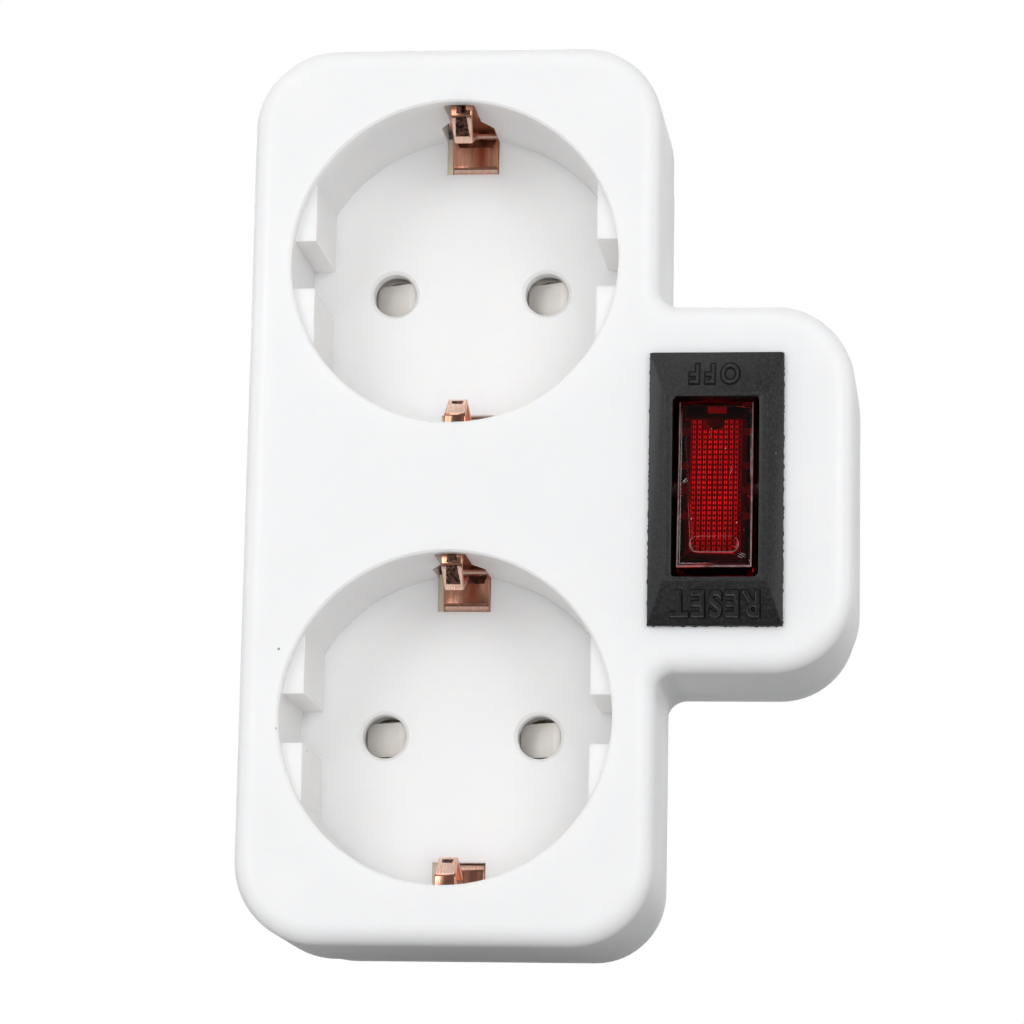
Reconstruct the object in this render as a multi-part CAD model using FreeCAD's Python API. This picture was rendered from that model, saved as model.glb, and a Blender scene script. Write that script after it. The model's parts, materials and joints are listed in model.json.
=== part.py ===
import FreeCAD, Part
import math
import os

# A two-way plug adapter with a lit rocker switch, in millimetres.
# X points right and Z up on the face with the sockets, and Y points into the wall.
# The origin is the middle of the two plug pins, on the plug's face that they stand out of.

# Plug
pin_pitch = 19.0
pin_d = 4.8
pin_length = 19.0
plug_depth = 17.5
plug_gap = 0.9
plug_floor = 3.0
cavity_gap = 2.0
collar_r = 3.5
collar_t = 2.0
rivet_r = 1.5
strap_inset = 3.15
strap_width = 6.0
strap_setback = 1.6
strap_hook = 1.0
strap_lean = 0.8
strap_gap = 0.1
strap_side_gap = 0.5
strap_nose_room = 2.2
strap_bend_r = 0.6
rivet_head = 0.9
link_side = 1.2
link_gap = 0.9
link_start = 2.2
link_foot = 6.5
line_link_lift = 2.0
plug_bevel = 0.7
plug_guide_gap = 0.4
pin_fit = 0.05
pin_shoulder = 0.2
pin_shoulder_rise = 0.2

# Sockets
well_r = 19.85
well_depth = 17.5
well_spacing = 55.4
well_wall = 1.8
well_floor = 2.5
mouth_bevel = 0.25
pin_hole_r = 2.7
hole_chamfer = 0.4
guide_depth = 2.75
guide_drop = 1.75
guide_notch = 5.9

# Housing
side_land = 5.15
end_land = 7.15
rear_room = 11.1
body_corner_r = 10.0
box_side_land = 8.495
box_end_land = 5.85
box_room = 1.1
box_corner_r = 10.0
inner_corner_r = 2.2
wall = 2.2
edge_r = 2.3
rear_edge_r = 1.6
seam_depth = 20.0
front_draft = 0.5
rear_taper = 3.0
seam_step = 0.25
lip_t = 1.0
lip_h = 1.6
lip_gap = 0.12
boss_r = 3.0
boss_wall = 0.9
boss_inset = 7.2
screw_r = 1.45
screw_head_r = 2.5
screw_head_gap = 0.3
screw_head_t = 2.0
screw_length = 12.0
screw_point_gap = 1.5
screw_fit = 0.05
screw_clearance = 0.15
screw_seat = 3.0
box_boss_gap = 0.15
rib_t = 1.6
rib_gap = 1.0

# Cutting shapes reach this far past the faces that they open
past = 1.0

# Earth clips and pockets
clip_t = 0.6
clip_width = 5.8
clip_neck = 2.7
clip_finger = 2.1
clip_side = 0.25
clip_nose_inset = 3.95
clip_nose_depth = 5.2
clip_top_depth = 2.1
clip_bend_r = 0.75
pocket_top_depth = 1.8
pocket_neck = 3.8
pocket_neck_depth = 8.9
pocket_shoulder_depth = 11.2
pocket_width = 6.5
pocket_cut = 1.55
slot_inset = 4.45
foot_length = 4.0
pocket_wall = 1.2
clip_floor_gap = 0.5
clip_riser_gap = 0.15
clip_wall_gap = 0.35
clip_fold = 2.3
clip_tail = 4.2
clip_tail_lean = 2.0
clip_shoulder_gap = 0.4
clip_leg_room = 2.2
clip_low_room = 1.5

# Rails and grips behind the sockets
rail_t = 0.8
rail_width = 6.4
bar_width = 7.0
grip_t = 0.6
grip_height = 7.0
grip_end_gap = 1.5
grip_pinch = 4.9
grip_flare = 0.9
grip_bend_r = 0.6
grip_pinch_share = 0.7
bar_end = 1.0
bar_hole_gap = 0.2
fold_r = 0.8
earth_leg_z = 7.7
earth_foot = 5.0

# Shutters
shutter_gap = 0.2
shutter_t = 3.0
shutter_frame_t = 1.4
shutter_travel = 5.2
shutter_half_z = 4.6
shutter_rail = 1.5
pad_half_x = 2.75
pad_half_z = 2.1
web_t = 0.9
retainer_t = 1.5
retainer_wall = 1.3
retainer_half_z = 7.2
retainer_past_cup = 0.6
ramp_foot = 0.8
ramp_land = 1.2
ramp_round = 0.6
stud_r = 0.75
stud_length = 1.4
stud_block = 2.0
spring_r = 1.35
spring_wire = 0.36
spring_turns = 4
spring_steps = 10
spring_sides = 6
spring_end_gap = 0.1
spring_space = 7.4

# Rocker switch
switch_offset = 6.83
switch_z = -0.45
bezel_width = 15.95
bezel_height = 32.9
bezel_rise = 2.0
bezel_edge = 0.6
bezel_rim_side = 1.0
bezel_rim_end = 0.5
opening_width = 10.3
opening_height = 21.7
switch_width = 13.4
switch_height = 28.4
switch_depth = 19.5
switch_wall = 1.2
switch_fit = 0.1
deck_depth = 2.8
lug_width = 6.0
lug_reach = 0.7
base_t = 2.0
base_step = 1.0
base_gap = 0.1
stop_t = 1.6
stop_half = 2.0
stop_gap = 0.25
lug_length = 4.0
rocker_width = 9.3
rocker_half = 10.2
rocker_throw = 14.0
rocker_draft = 0.2
rocker_skirt = 5.0
rocker_wall = 0.9
rocker_edge_r = 0.55
pivot_depth = 2.7
axle_r = 1.0
axle_gap = 0.06
axle_reach = 0.75
axle_slot_gap = 0.12
pill_length = 5.9
pill_width = 2.2
pill_rise = 0.35
pill_edge_r = 0.3
pill_inset = 1.55
diffuser_t = 0.6
diffuser_width = 6.1
diffuser_height = 16.4
diffuser_notch_r = 1.2
carrier_t = 2.4
carrier_gap = 0.2
carrier_end_gap = 0.9
carrier_bar = 1.0
plunger_r = 1.4
plunger_gap = 0.1
plunger_reach = 11.85
plunger_length = 6.5
plunger_boss_r = 2.3
plunger_boss_depth = 8.6
plunger_wire = 0.3
plunger_turns = 3
plunger_end_gap = 0.05
barrel_end = 1.0
tilt_pivot_depth = 13.9
tilt_throw = 16.5
tilt_half = 8.0
tilt_width = 5.0
tilt_t = 0.8
tilt_bead_r = 0.8
tilt_height = 1.2
tilt_neck = 0.5
cradle_half = 1.7
cradle_depth = 2.2
cradle_gap = 0.08
contact_x = 7.0
contact_r = 1.4
contact_t = 0.8
contact_gap = 0.3
contact_shift = 0.3
shelf_tail = 2.0
blade_width = 6.3
blade_t = 0.8
blade_reach = 5.2
blade_inset = 1.6
blade_fit = 0.02
lamp_r = 2.0
lamp_length = 8.0
lamp_depth = 7.9
lamp_z = 6.9
lamp_shelf_tail = 1.2
resistor_gap = 0.05
resistor_r = 1.2
resistor_length = 6.0
wire_r = 1.1
wire_tail = 2.0
wire_run = 5.0
wire_setback = 1.6
wire_bend_share = 0.45
wire_steps = 5
wire_sides = 10

# Sizes and places worked out from the sizes above
plug_r = well_r - plug_gap
plug_cavity_r = pin_pitch / 2 + rivet_r + link_side + cavity_gap
strap_reach = well_r - strap_inset
guide_flat_x = well_r - guide_depth
clip_nose_r = well_r - clip_nose_inset
pocket_r = well_r + pocket_cut
slot_inner_r = well_r - slot_inset
body_width = 2 * (well_r + side_land)
body_height = well_spacing + 2 * (well_r + end_land)
stack_depth = well_floor + shutter_t + 2 * shutter_gap + retainer_t + rail_t
body_depth = well_depth + stack_depth + rear_room + wall
switch_x = body_width / 2 + switch_offset
box_reach = switch_x + bezel_width / 2 + box_side_land
box_height = bezel_height + 2 * box_end_land
box_depth = switch_depth + base_t + blade_reach + box_room + wall
blade_pitch = switch_height / 2 - switch_wall - blade_inset
grip_length = rear_room - grip_end_gap
face_y = -(plug_depth + body_depth)
seam_y = face_y + seam_depth
rear_y = -plug_depth
box_rear_y = face_y + box_depth
floor_y = face_y + well_depth
floor_back_y = floor_y + well_floor
pin_x = pin_pitch / 2
well_z = well_spacing / 2
cup_r = well_r + well_wall
bezel_y = face_y - bezel_rise
pivot_y = bezel_y + pivot_depth
base_y = face_y + switch_depth
shutter_y = floor_back_y + shutter_gap
shutter_back_y = shutter_y + shutter_t
retainer_y = shutter_back_y + shutter_gap
rail_y = retainer_y + retainer_t
rail_back_y = rail_y + rail_t
inner_rear_y = rear_y - wall
box_inner_rear_y = box_rear_y - wall
tilt_y = face_y + tilt_pivot_depth
plug_floor_y = -plug_floor
collar_y = plug_floor_y - collar_t
rib_z = well_z - grip_height / 2 - rib_gap - rib_t / 2
seat_y = seam_y + screw_seat
rear_boss_r = screw_head_r + screw_head_gap + boss_wall


def vec(x, y, z):
    return FreeCAD.Vector(x, y, z)


def box(x0, x1, y0, y1, z0, z1):
    return Part.makeBox(x1 - x0, y1 - y0, z1 - z0, vec(x0, y0, z0))


def rod_y(x, z, r, y0, y1):
    return Part.makeCylinder(r, y1 - y0, vec(x, y0, z), vec(0, 1, 0))


def rod_x(y, z, r, x0, x1):
    return Part.makeCylinder(r, x1 - x0, vec(x0, y, z), vec(1, 0, 0))


def joined(first, *others):
    return first.fuse(list(others)).removeSplitter()


def without(first, *others):
    return first.cut(list(others))


def corner_arc(before, corner, after, r):
    """Start, middle and end of the arc that rounds one corner of an outline."""
    back = (before - corner).normalize()
    ahead = (after - corner).normalize()
    half = back.getAngle(ahead) / 2
    inward = (back + ahead).normalize()
    start = corner + back * (r / math.tan(half))
    end = corner + ahead * (r / math.tan(half))
    middle = corner + inward * (r / math.sin(half) - r)
    return start, middle, end


def outline(points, radii, place):
    """A closed wire through flat points, each corner rounded by its own radius."""
    flat = [vec(a, b, 0) for a, b in points]
    corners = []
    for i, r in enumerate(radii):
        after = flat[(i + 1) % len(flat)]
        if r > 0:
            corners.append(corner_arc(flat[i - 1], flat[i], after, r))
        else:
            corners.append((flat[i], None, flat[i]))
    edges = []
    for i, (start, middle, end) in enumerate(corners):
        if middle is not None:
            edges.append(Part.Arc(place(start), place(middle), place(end)).toShape())
        onward = corners[(i + 1) % len(corners)][0]
        if onward.distanceToPoint(end) > 1e-6:
            edges.append(Part.LineSegment(place(end), place(onward)).toShape())
    return Part.Wire(edges)


def shifted(points, distance):
    """The same open line of points, moved sideways by a distance."""
    flat = [vec(a, b, 0) for a, b in points]
    sides = []
    for start, end in zip(flat, flat[1:]):
        run = (end - start).normalize()
        sides.append(vec(-run.y, run.x, 0))
    moved = [flat[0] + sides[0] * distance]
    for corner, before, after in zip(flat[1:-1], sides, sides[1:]):
        lean = before + after
        moved.append(corner + lean * (2 * distance / lean.dot(lean)))
    moved.append(flat[-1] + sides[-1] * distance)
    return [(p.x, p.y) for p in moved]


def folded_face(points, bend_r, t, place):
    """The section of a sheet of one thickness, folded along a line of points."""
    bends = []
    for a, b, c in zip(points, points[1:], points[2:]):
        turn = (b[0] - a[0]) * (c[1] - b[1]) - (b[1] - a[1]) * (c[0] - b[0])
        bends.append(math.copysign(1, turn))
    left = shifted(points, t / 2)
    right = shifted(points, -t / 2)
    left_r = [0] + [bend_r - side * t / 2 for side in bends] + [0]
    right_r = [0] + [bend_r + side * t / 2 for side in bends] + [0]
    ring = left + right[::-1]
    return Part.Face(outline(ring, left_r + right_r[::-1], place))


def rectangle(x0, x1, z0, z1, radii, y):
    corners = [(x0, z1), (x1, z1), (x1, z0), (x0, z0)]
    return outline(corners, radii, lambda p: vec(p.x, y, p.y))


def body_outline(y, grow):
    half_x = body_width / 2 + grow
    half_z = body_height / 2 + grow
    return rectangle(-half_x, half_x, -half_z, half_z, [body_corner_r + grow] * 4, y)


def box_outline(y, grow):
    half_z = box_height / 2 + grow
    r = box_corner_r + grow
    return rectangle(0, box_reach + grow, -half_z, half_z, [0, r, r, 0], y)


def stepped_block(y0, body_y, box_y, grow, slope):
    """Body and switch box as one block whose sides lean by slope from y0 on."""
    lofts = []
    for profile, y in ((body_outline, body_y), (box_outline, box_y)):
        ends = [profile(y0, grow), profile(y, grow + slope * (y - y0))]
        lofts.append(Part.makeLoft(ends, True, True))
    block = joined(*lofts)
    corners = []
    for edge in block.Edges:
        middle = edge.BoundBox.Center
        steep = edge.BoundBox.YLength > abs(box_y - y0) * 0.9
        near_x = abs(middle.x - body_width / 2 - grow) < 2
        near_z = abs(abs(middle.z) - box_height / 2 - grow) < 2
        if steep and near_x and near_z:
            corners.append(edge)
    return block.makeFillet(inner_corner_r - grow, corners)


def rim_edges(shape, y):
    """The edges that lie in the plane at y."""
    found = []
    for edge in shape.Edges:
        span = edge.BoundBox
        if abs(span.YMin - y) < 1e-3 and abs(span.YMax - y) < 1e-3:
            found.append(edge)
    return found


def boss_places():
    """Screw places in the body's corners and at the end of the switch box, as (x, z)."""
    x = body_width / 2 - boss_inset
    z = body_height / 2 - boss_inset
    box_x = box_reach - wall - rear_boss_r - box_boss_gap
    return [(x, z), (-x, z), (-x, -z), (x, -z), (box_x, 0)]


def well_ends():
    """Each end of each socket that holds an earth clip: name, well centre, outward sign."""
    return [("upper_top", well_z, 1), ("upper_bottom", well_z, -1),
            ("lower_top", -well_z, 1), ("lower_bottom", -well_z, -1)]


def clip_pocket(centre, out):
    """The slot in wall and floor that one earth clip stands in."""
    neck = pocket_neck / 2
    wide = pocket_width / 2
    top = face_y + pocket_top_depth
    shoulder = face_y + pocket_neck_depth
    full = face_y + pocket_shoulder_depth
    back = floor_back_y + past
    corners = [(-neck, top), (neck, top), (neck, shoulder), (wide, full), (wide, back),
               (-wide, back), (-wide, full), (-neck, shoulder)]
    z_start = centre + out * (well_r - past)
    wire = outline(corners, [0] * len(corners), lambda p: vec(p.x, p.y, z_start))
    wall_slot = Part.Face(wire).extrude(vec(0, 0, out * (pocket_r - well_r + past)))
    ends = sorted([centre + out * slot_inner_r, centre + out * pocket_r])
    floor_slot = box(-wide, wide, floor_y - past, back, *ends)
    return joined(wall_slot, floor_slot)


def guide_pair(centre, side):
    """The two chord-shaped fills on one side of a well, with the notch between them."""
    reach = well_r + well_wall / 2
    ends = sorted([side * guide_flat_x, side * reach])
    block = box(*ends, face_y + guide_drop, floor_back_y, centre - well_r, centre + well_r)
    disc = rod_y(0, centre, reach, face_y + guide_drop, floor_back_y)
    notch = guide_notch / 2
    gap = box(*ends, face_y, floor_y, centre - notch, centre + notch)
    return without(block.common(disc), gap)


def make_front_housing():
    slope = math.tan(math.radians(front_draft))
    shell = stepped_block(seam_y, face_y, face_y, 0, slope)
    shell = shell.makeFillet(edge_r, rim_edges(shell, face_y))
    hollow = stepped_block(seam_y + past, face_y + wall, face_y + wall, -wall, slope)
    shell = without(shell, hollow)
    root = seam_y - past
    lip = stepped_block(seam_y + lip_h, root, root, lip_t - wall, 0)
    lip_inner = stepped_block(seam_y + lip_h + past, root - past, root - past, -wall, 0)
    boss_room = []
    for x, z in boss_places():
        boss_room.append(rod_y(x, z, rear_boss_r + lip_gap, seam_y, seam_y + lip_h + past))
    added = [without(lip, lip_inner, *boss_room)]
    inside = face_y + wall / 2
    for centre in (well_z, -well_z):
        added.append(rod_y(0, centre, cup_r, inside, floor_back_y))
    for name, centre, out in well_ends():
        half = pocket_width / 2 + pocket_wall
        ends = sorted([centre + out * (well_r - past), centre + out * (pocket_r + pocket_wall)])
        added.append(box(-half, half, inside, floor_back_y, *ends))
    for x, z in boss_places():
        added.append(rod_y(x, z, boss_r, inside, seam_y))
    shell = joined(shell, *added)
    for centre in (well_z, -well_z):
        shell = without(shell, rod_y(0, centre, well_r, face_y - past, floor_y))
    mouths = []
    for edge in rim_edges(shell, face_y):
        if abs(edge.BoundBox.XLength - 2 * well_r) < 0.01:
            mouths.append(edge)
    shell = shell.makeChamfer(mouth_bevel, mouths)
    for centre in (well_z, -well_z):
        shell = joined(shell, guide_pair(centre, 1), guide_pair(centre, -1))
    holes = []
    for centre in (well_z, -well_z):
        for x in (pin_x, -pin_x):
            holes.append(rod_y(x, centre, pin_hole_r, floor_y - past, floor_back_y + past))
            mouth_r = pin_hole_r + hole_chamfer
            holes.append(Part.makeCone(mouth_r, pin_hole_r, hole_chamfer,
                                       vec(x, floor_y, centre), vec(0, 1, 0)))
    for name, centre, out in well_ends():
        holes.append(clip_pocket(centre, out))
    half_x = switch_width / 2 + switch_fit
    half_z = switch_height / 2 + switch_fit
    holes.append(box(switch_x - half_x, switch_x + half_x, face_y - past, seam_y,
                     switch_z - half_z, switch_z + half_z))
    for x, z in boss_places():
        holes.append(rod_y(x, z, screw_r, seat_y - screw_length, seam_y + past))
    return without(shell, *holes)


def plug_profile(y0, y1, with_guides):
    """The plug's round body, with its flats and side ridges where it has guides."""
    body = rod_y(0, 0, plug_r, y0, y1)
    if not with_guides:
        return body
    flat = guide_flat_x - plug_gap
    ridge = guide_notch / 2 - plug_gap / 2
    cuts = []
    for side in (1, -1):
        ends = sorted([side * flat, side * (plug_r + past)])
        cuts.append(box(*ends, y0, y1, ridge, plug_r))
        cuts.append(box(*ends, y0, y1, -plug_r, -ridge))
    return without(body, *cuts)


def make_rear_cover():
    slope = -math.tan(math.radians(rear_taper))
    outer = stepped_block(seam_y, rear_y, box_rear_y, -seam_step, slope)
    outer = outer.makeFillet(rear_edge_r, rim_edges(outer, rear_y))
    inner = stepped_block(seam_y - past, inner_rear_y, box_inner_rear_y, -wall, slope)
    rebate = stepped_block(seam_y + lip_h + lip_gap, seam_y - past, seam_y - past,
                           lip_t + lip_gap - wall, 0)
    shell = without(outer, inner, rebate)
    collar_end = rear_y + guide_drop - plug_guide_gap
    round_part = plug_profile(inner_rear_y, collar_end, False)
    guided_part = plug_profile(collar_end, 0, True)
    guided_part = guided_part.makeChamfer(plug_bevel, rim_edges(guided_part, 0))
    added = [round_part, guided_part]
    for x, z in boss_places():
        back = rear_y if abs(x) < body_width / 2 else box_rear_y
        added.append(rod_y(x, z, rear_boss_r, seam_y, back - wall / 2))
    for z in (rib_z, -rib_z):
        half = pin_x + bar_width / 2
        added.append(box(-half, half, rail_back_y, inner_rear_y + wall / 2,
                         z - rib_t / 2, z + rib_t / 2))
    shell = joined(shell, *added)
    cuts = [rod_y(0, 0, plug_cavity_r, inner_rear_y - past, plug_floor_y)]
    for x in (pin_x, -pin_x):
        cuts.append(rod_y(x, 0, pin_d / 2 + pin_shoulder + pin_fit, plug_floor_y - past, past))
    strap_inner = strap_reach - rail_t - strap_gap
    half = strap_width / 2 + strap_side_gap
    narrow = strap_width / 2 + strap_gap
    for side in (1, -1):
        ends = sorted([side * strap_inner, side * (plug_r + past)])
        cuts.append(box(-half, half, rear_y, past, *ends))
        ends = sorted([side * (strap_inner - strap_hook), side * strap_reach])
        cuts.append(box(-half, half, -strap_setback - strap_nose_room, past, *ends))
        ends = sorted([side * strap_inner, side * (strap_reach + strap_gap)])
        cuts.append(box(-narrow, narrow, inner_rear_y - past, rear_y + past, *ends))
    for x, z in boss_places():
        cuts.append(rod_y(x, z, screw_r + screw_clearance, seam_y - past, rear_y))
        cuts.append(rod_y(x, z, screw_head_r + screw_head_gap, seat_y, rear_y + past))
    return without(shell, *cuts)


def make_plug_pin(x):
    tip = pin_d / 4
    shank = rod_y(x, 0, pin_d / 2, plug_floor_y, pin_length)
    rounded = [e for e in shank.Edges if abs(e.BoundBox.YMin - pin_length) < 1e-6]
    shank = shank.makeFillet(tip, rounded)
    shoulder = rod_y(x, 0, pin_d / 2 + pin_shoulder, plug_floor_y, pin_shoulder_rise)
    collar = rod_y(x, 0, collar_r, collar_y, plug_floor_y)
    tail = rod_y(x, 0, rivet_r, collar_y - rail_t, collar_y)
    head = rod_y(x, 0, rivet_r + rivet_head, collar_y - 2 * rail_t, collar_y - rail_t)
    return joined(shank, shoulder, collar, tail, head)


def folded_along_x(points, bend_r, t, half_width, x=0.0):
    """A strip folded in the side view from (y, z) points and as wide as two halves in X."""
    face = folded_face(points, bend_r, t, lambda p: vec(x - half_width, p.x, p.y))
    return face.extrude(vec(2 * half_width, 0, 0))


def make_plug_earth_strap():
    z = strap_reach - rail_t / 2
    cross_y = inner_rear_y - rail_t / 2 - pin_fit
    front_y = -strap_setback
    nose = z - strap_hook
    nose_y = front_y - strap_hook * strap_lean
    points = [(nose_y, nose), (front_y, z), (cross_y, z),
              (cross_y, -z), (front_y, -z), (nose_y, -nose)]
    return folded_along_x(points, strap_bend_r, rail_t, strap_width / 2)


def make_link(x, top_y, foot_z):
    """The folded strip from a pin's rivet inside the plug up to the rails."""
    low_y = collar_y - rail_t / 2
    riser_z = collar_r + link_gap
    points = [(low_y, -link_start), (low_y, riser_z), (top_y, riser_z), (top_y, foot_z)]
    link = folded_along_x(points, fold_r, rail_t, rivet_r + link_side, x)
    return without(link, rod_y(x, 0, rivet_r + pin_fit, collar_y - 2 * rail_t, collar_y + past))


def clip_line(out, centre):
    """The clip's fold line as (y, z), from its foot on the rail to the tip of its finger."""
    def z(r):
        return centre + out * r
    foot_y = rail_y - clip_t / 2
    band_y = floor_y + clip_floor_gap + clip_t / 2
    riser = slot_inner_r + clip_riser_gap + clip_t / 2
    leg = pocket_r - clip_wall_gap - clip_t / 2
    top_y = face_y + clip_top_depth + clip_t / 2
    nose_y = face_y + clip_nose_depth
    nose = clip_nose_r + clip_t / 2
    return [(foot_y, z(riser - foot_length)), (foot_y, z(riser)), (band_y, z(riser)),
            (band_y, z(leg)), (top_y, z(leg)), (top_y, z(leg - clip_fold)),
            (nose_y, z(nose)), (nose_y + clip_tail, z(nose + clip_tail_lean))]


def make_earth_clip(centre, out):
    """One spring clip: foot, riser, band, leg with shoulders, and folded-over finger.

    It stands a little to one side in its slot."""
    strip = folded_along_x(clip_line(out, centre), clip_bend_r, clip_t, clip_width / 2)
    neck = clip_neck / 2
    wide = clip_width / 2
    tip = clip_finger / 2
    shoulder = face_y + pocket_neck_depth + clip_shoulder_gap
    full = face_y + pocket_shoulder_depth + clip_shoulder_gap
    leg_line = [(-neck, face_y), (neck, face_y), (neck, shoulder), (wide, full),
                (wide, rail_y), (-wide, rail_y), (-wide, full), (-neck, shoulder)]
    leg_z = centre + out * (pocket_r - clip_leg_room)
    wire = outline(leg_line, [0] * len(leg_line), lambda p: vec(p.x, p.y, leg_z))
    leg_part = Part.Face(wire).extrude(vec(0, 0, out * clip_leg_room))
    low_y = floor_y - clip_low_room
    low_part = box(-wide, wide, low_y, rail_y, *sorted([centre, leg_z]))
    near = centre + out * (clip_nose_r - past)
    far = leg_z
    corners = [(-tip, near), (tip, near), (neck, far), (-neck, far)]
    wire = outline(corners, [0] * 4, lambda p: vec(p.x, face_y, p.y))
    finger_part = Part.Face(wire).extrude(vec(0, low_y - face_y, 0))
    shape = joined(leg_part, low_part, finger_part)
    clip = strip.common(shape)
    clip.translate(vec(clip_side, 0, 0))
    return clip


def make_earth_rail():
    """The strip behind both sockets, with the leg that stands on the plug's earth strap."""
    reach = well_z + slot_inner_r + clip_t
    rail = box(-rail_width / 2, rail_width / 2, rail_y, rail_back_y, -reach, reach)
    low_y = inner_rear_y - 1.5 * rail_t - strap_gap
    top_y = rail_y + rail_t / 2
    points = [(top_y, earth_leg_z), (low_y, earth_leg_z), (low_y, earth_leg_z + earth_foot)]
    leg = folded_along_x(points, fold_r, rail_t, strap_width / 2 - rail_t)
    return joined(rail, leg)


def make_bar(x):
    """The flat bar that joins the grips of one pole."""
    reach = well_z + grip_height / 2 + bar_end
    bar = box(x - bar_width / 2, x + bar_width / 2, rail_y, rail_back_y, -reach, reach)
    holes = []
    for centre in (well_z, -well_z):
        holes.append(rod_y(x, centre, pin_hole_r + bar_hole_gap, rail_y - past, rail_back_y + past))
    return without(bar, *holes)


def make_grip(x, centre):
    """A pair of spring leaves, folded from one strip, that pinch a plug's pin."""
    base_y = rail_back_y + grip_t / 2
    half = bar_width / 2 - grip_t / 2
    pinch = grip_pinch / 2 + grip_t / 2
    pinch_y = base_y + grip_length * grip_pinch_share
    end_y = base_y + grip_length
    points = [(x - pinch - grip_flare, end_y), (x - pinch, pinch_y), (x - half, base_y),
              (x + half, base_y), (x + pinch, pinch_y), (x + pinch + grip_flare, end_y)]
    low_z = centre - grip_height / 2
    face = folded_face(points, grip_bend_r, grip_t, lambda p: vec(p.x, p.y, low_z))
    grip = face.extrude(vec(0, 0, grip_height))
    hole = rod_y(x, centre, pin_hole_r + bar_hole_gap, rail_back_y - past, base_y + grip_t)
    return without(grip, hole)


def shutter_ends():
    """Left and right end of a shutter's frame, at rest."""
    left = -pin_x - pad_half_x - shutter_travel - web_t
    right = pin_x + pad_half_x + web_t
    return left, right


def make_shutter(centre):
    """A sliding frame whose ramped pads block both pin holes until two pins push them."""
    left, right = shutter_ends()
    frame_y = shutter_back_y - shutter_frame_t
    inner = shutter_half_z - shutter_rail
    frame = box(left, right, frame_y, shutter_back_y,
                centre - shutter_half_z, centre + shutter_half_z)
    frame = without(frame, box(left + web_t, right - web_t, frame_y - past,
                               shutter_back_y + past, centre - inner, centre + inner))
    parts = []
    for x in (pin_x, -pin_x):
        low = shutter_back_y - ramp_foot
        ramp = [(x - pad_half_x, shutter_back_y), (x - pad_half_x, low),
                (x + pad_half_x - ramp_land, shutter_y), (x + pad_half_x, shutter_y),
                (x + pad_half_x, shutter_back_y)]
        rounds = [0, 0, ramp_round, ramp_round, 0]
        wire = outline(ramp, rounds, lambda p: vec(p.x, p.y, centre - pad_half_z))
        parts.append(Part.Face(wire).extrude(vec(0, 0, 2 * pad_half_z)))
        parts.append(box(x + pad_half_x, x + pad_half_x + web_t, frame_y,
                         shutter_back_y, centre - inner, centre + inner))
    mid_y = (shutter_y + shutter_back_y) / 2
    stud = rod_x(mid_y, centre, stud_r, right - web_t, right + stud_length)
    block = box(right - web_t, right, shutter_y, shutter_back_y,
                centre - stud_block, centre + stud_block)
    return joined(frame, stud, block, *parts)


def make_shutter_retainer(centre):
    """The tray behind a socket's floor that the shutter slides in."""
    left, right = shutter_ends()
    x0 = left - shutter_gap - retainer_wall
    x1 = right + spring_space + retainer_wall
    half = retainer_half_z
    tray = box(x0, x1, floor_back_y, rail_y, centre - half, centre + half)
    disc = rod_y(0, centre, cup_r + retainer_past_cup, floor_back_y, rail_y)
    slide = shutter_half_z + shutter_gap
    cuts = [box(x0 + retainer_wall, x1 - retainer_wall, floor_back_y - past, retainer_y,
                centre - slide, centre + slide)]
    for x in (pin_x, -pin_x):
        cuts.append(rod_y(x, centre, pin_hole_r + bar_hole_gap, retainer_y - past, rail_y + past))
    return without(tray.common(disc), *cuts)


def swept_rod(spots, r, sides):
    """A wire of many flat sides that follows a line of points."""
    path = Part.makePolygon(spots)
    start = Part.Circle(spots[0], spots[1] - spots[0], r).toShape()
    ring = Part.makePolygon(start.discretize(Number=sides + 1))
    return path.makePipeShell([ring], True, False, 1)


def make_coil(r, wire_d, length, turns):
    """A coil along Z from the origin, its turns drawn in short straight steps."""
    mean_r = r - wire_d / 2
    rise = length - wire_d
    spots = []
    for step in range(turns * spring_steps + 1):
        angle = 2 * math.pi * step / spring_steps
        height = wire_d / 2 + rise * step / (turns * spring_steps)
        spots.append(vec(mean_r * math.cos(angle), mean_r * math.sin(angle), height))
    return swept_rod(spots, wire_d / 2, spring_sides)


def make_shutter_spring(centre):
    """The coil that pushes a shutter back over the holes."""
    left, right = shutter_ends()
    length = spring_space - 2 * spring_end_gap
    spring = make_coil(spring_r, spring_wire, length, spring_turns)
    spring.rotate(vec(0, 0, 0), vec(0, 1, 0), 90)
    spring.translate(vec(right + spring_end_gap, (shutter_y + shutter_back_y) / 2, centre))
    return spring


def switch_block(half_x, half_z, y0, y1):
    return box(switch_x - half_x, switch_x + half_x, y0, y1, switch_z - half_z, switch_z + half_z)


def switch_rectangle(half_x, half_z, y):
    return rectangle(switch_x - half_x, switch_x + half_x,
                     switch_z - half_z, switch_z + half_z, [0] * 4, y)


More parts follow.
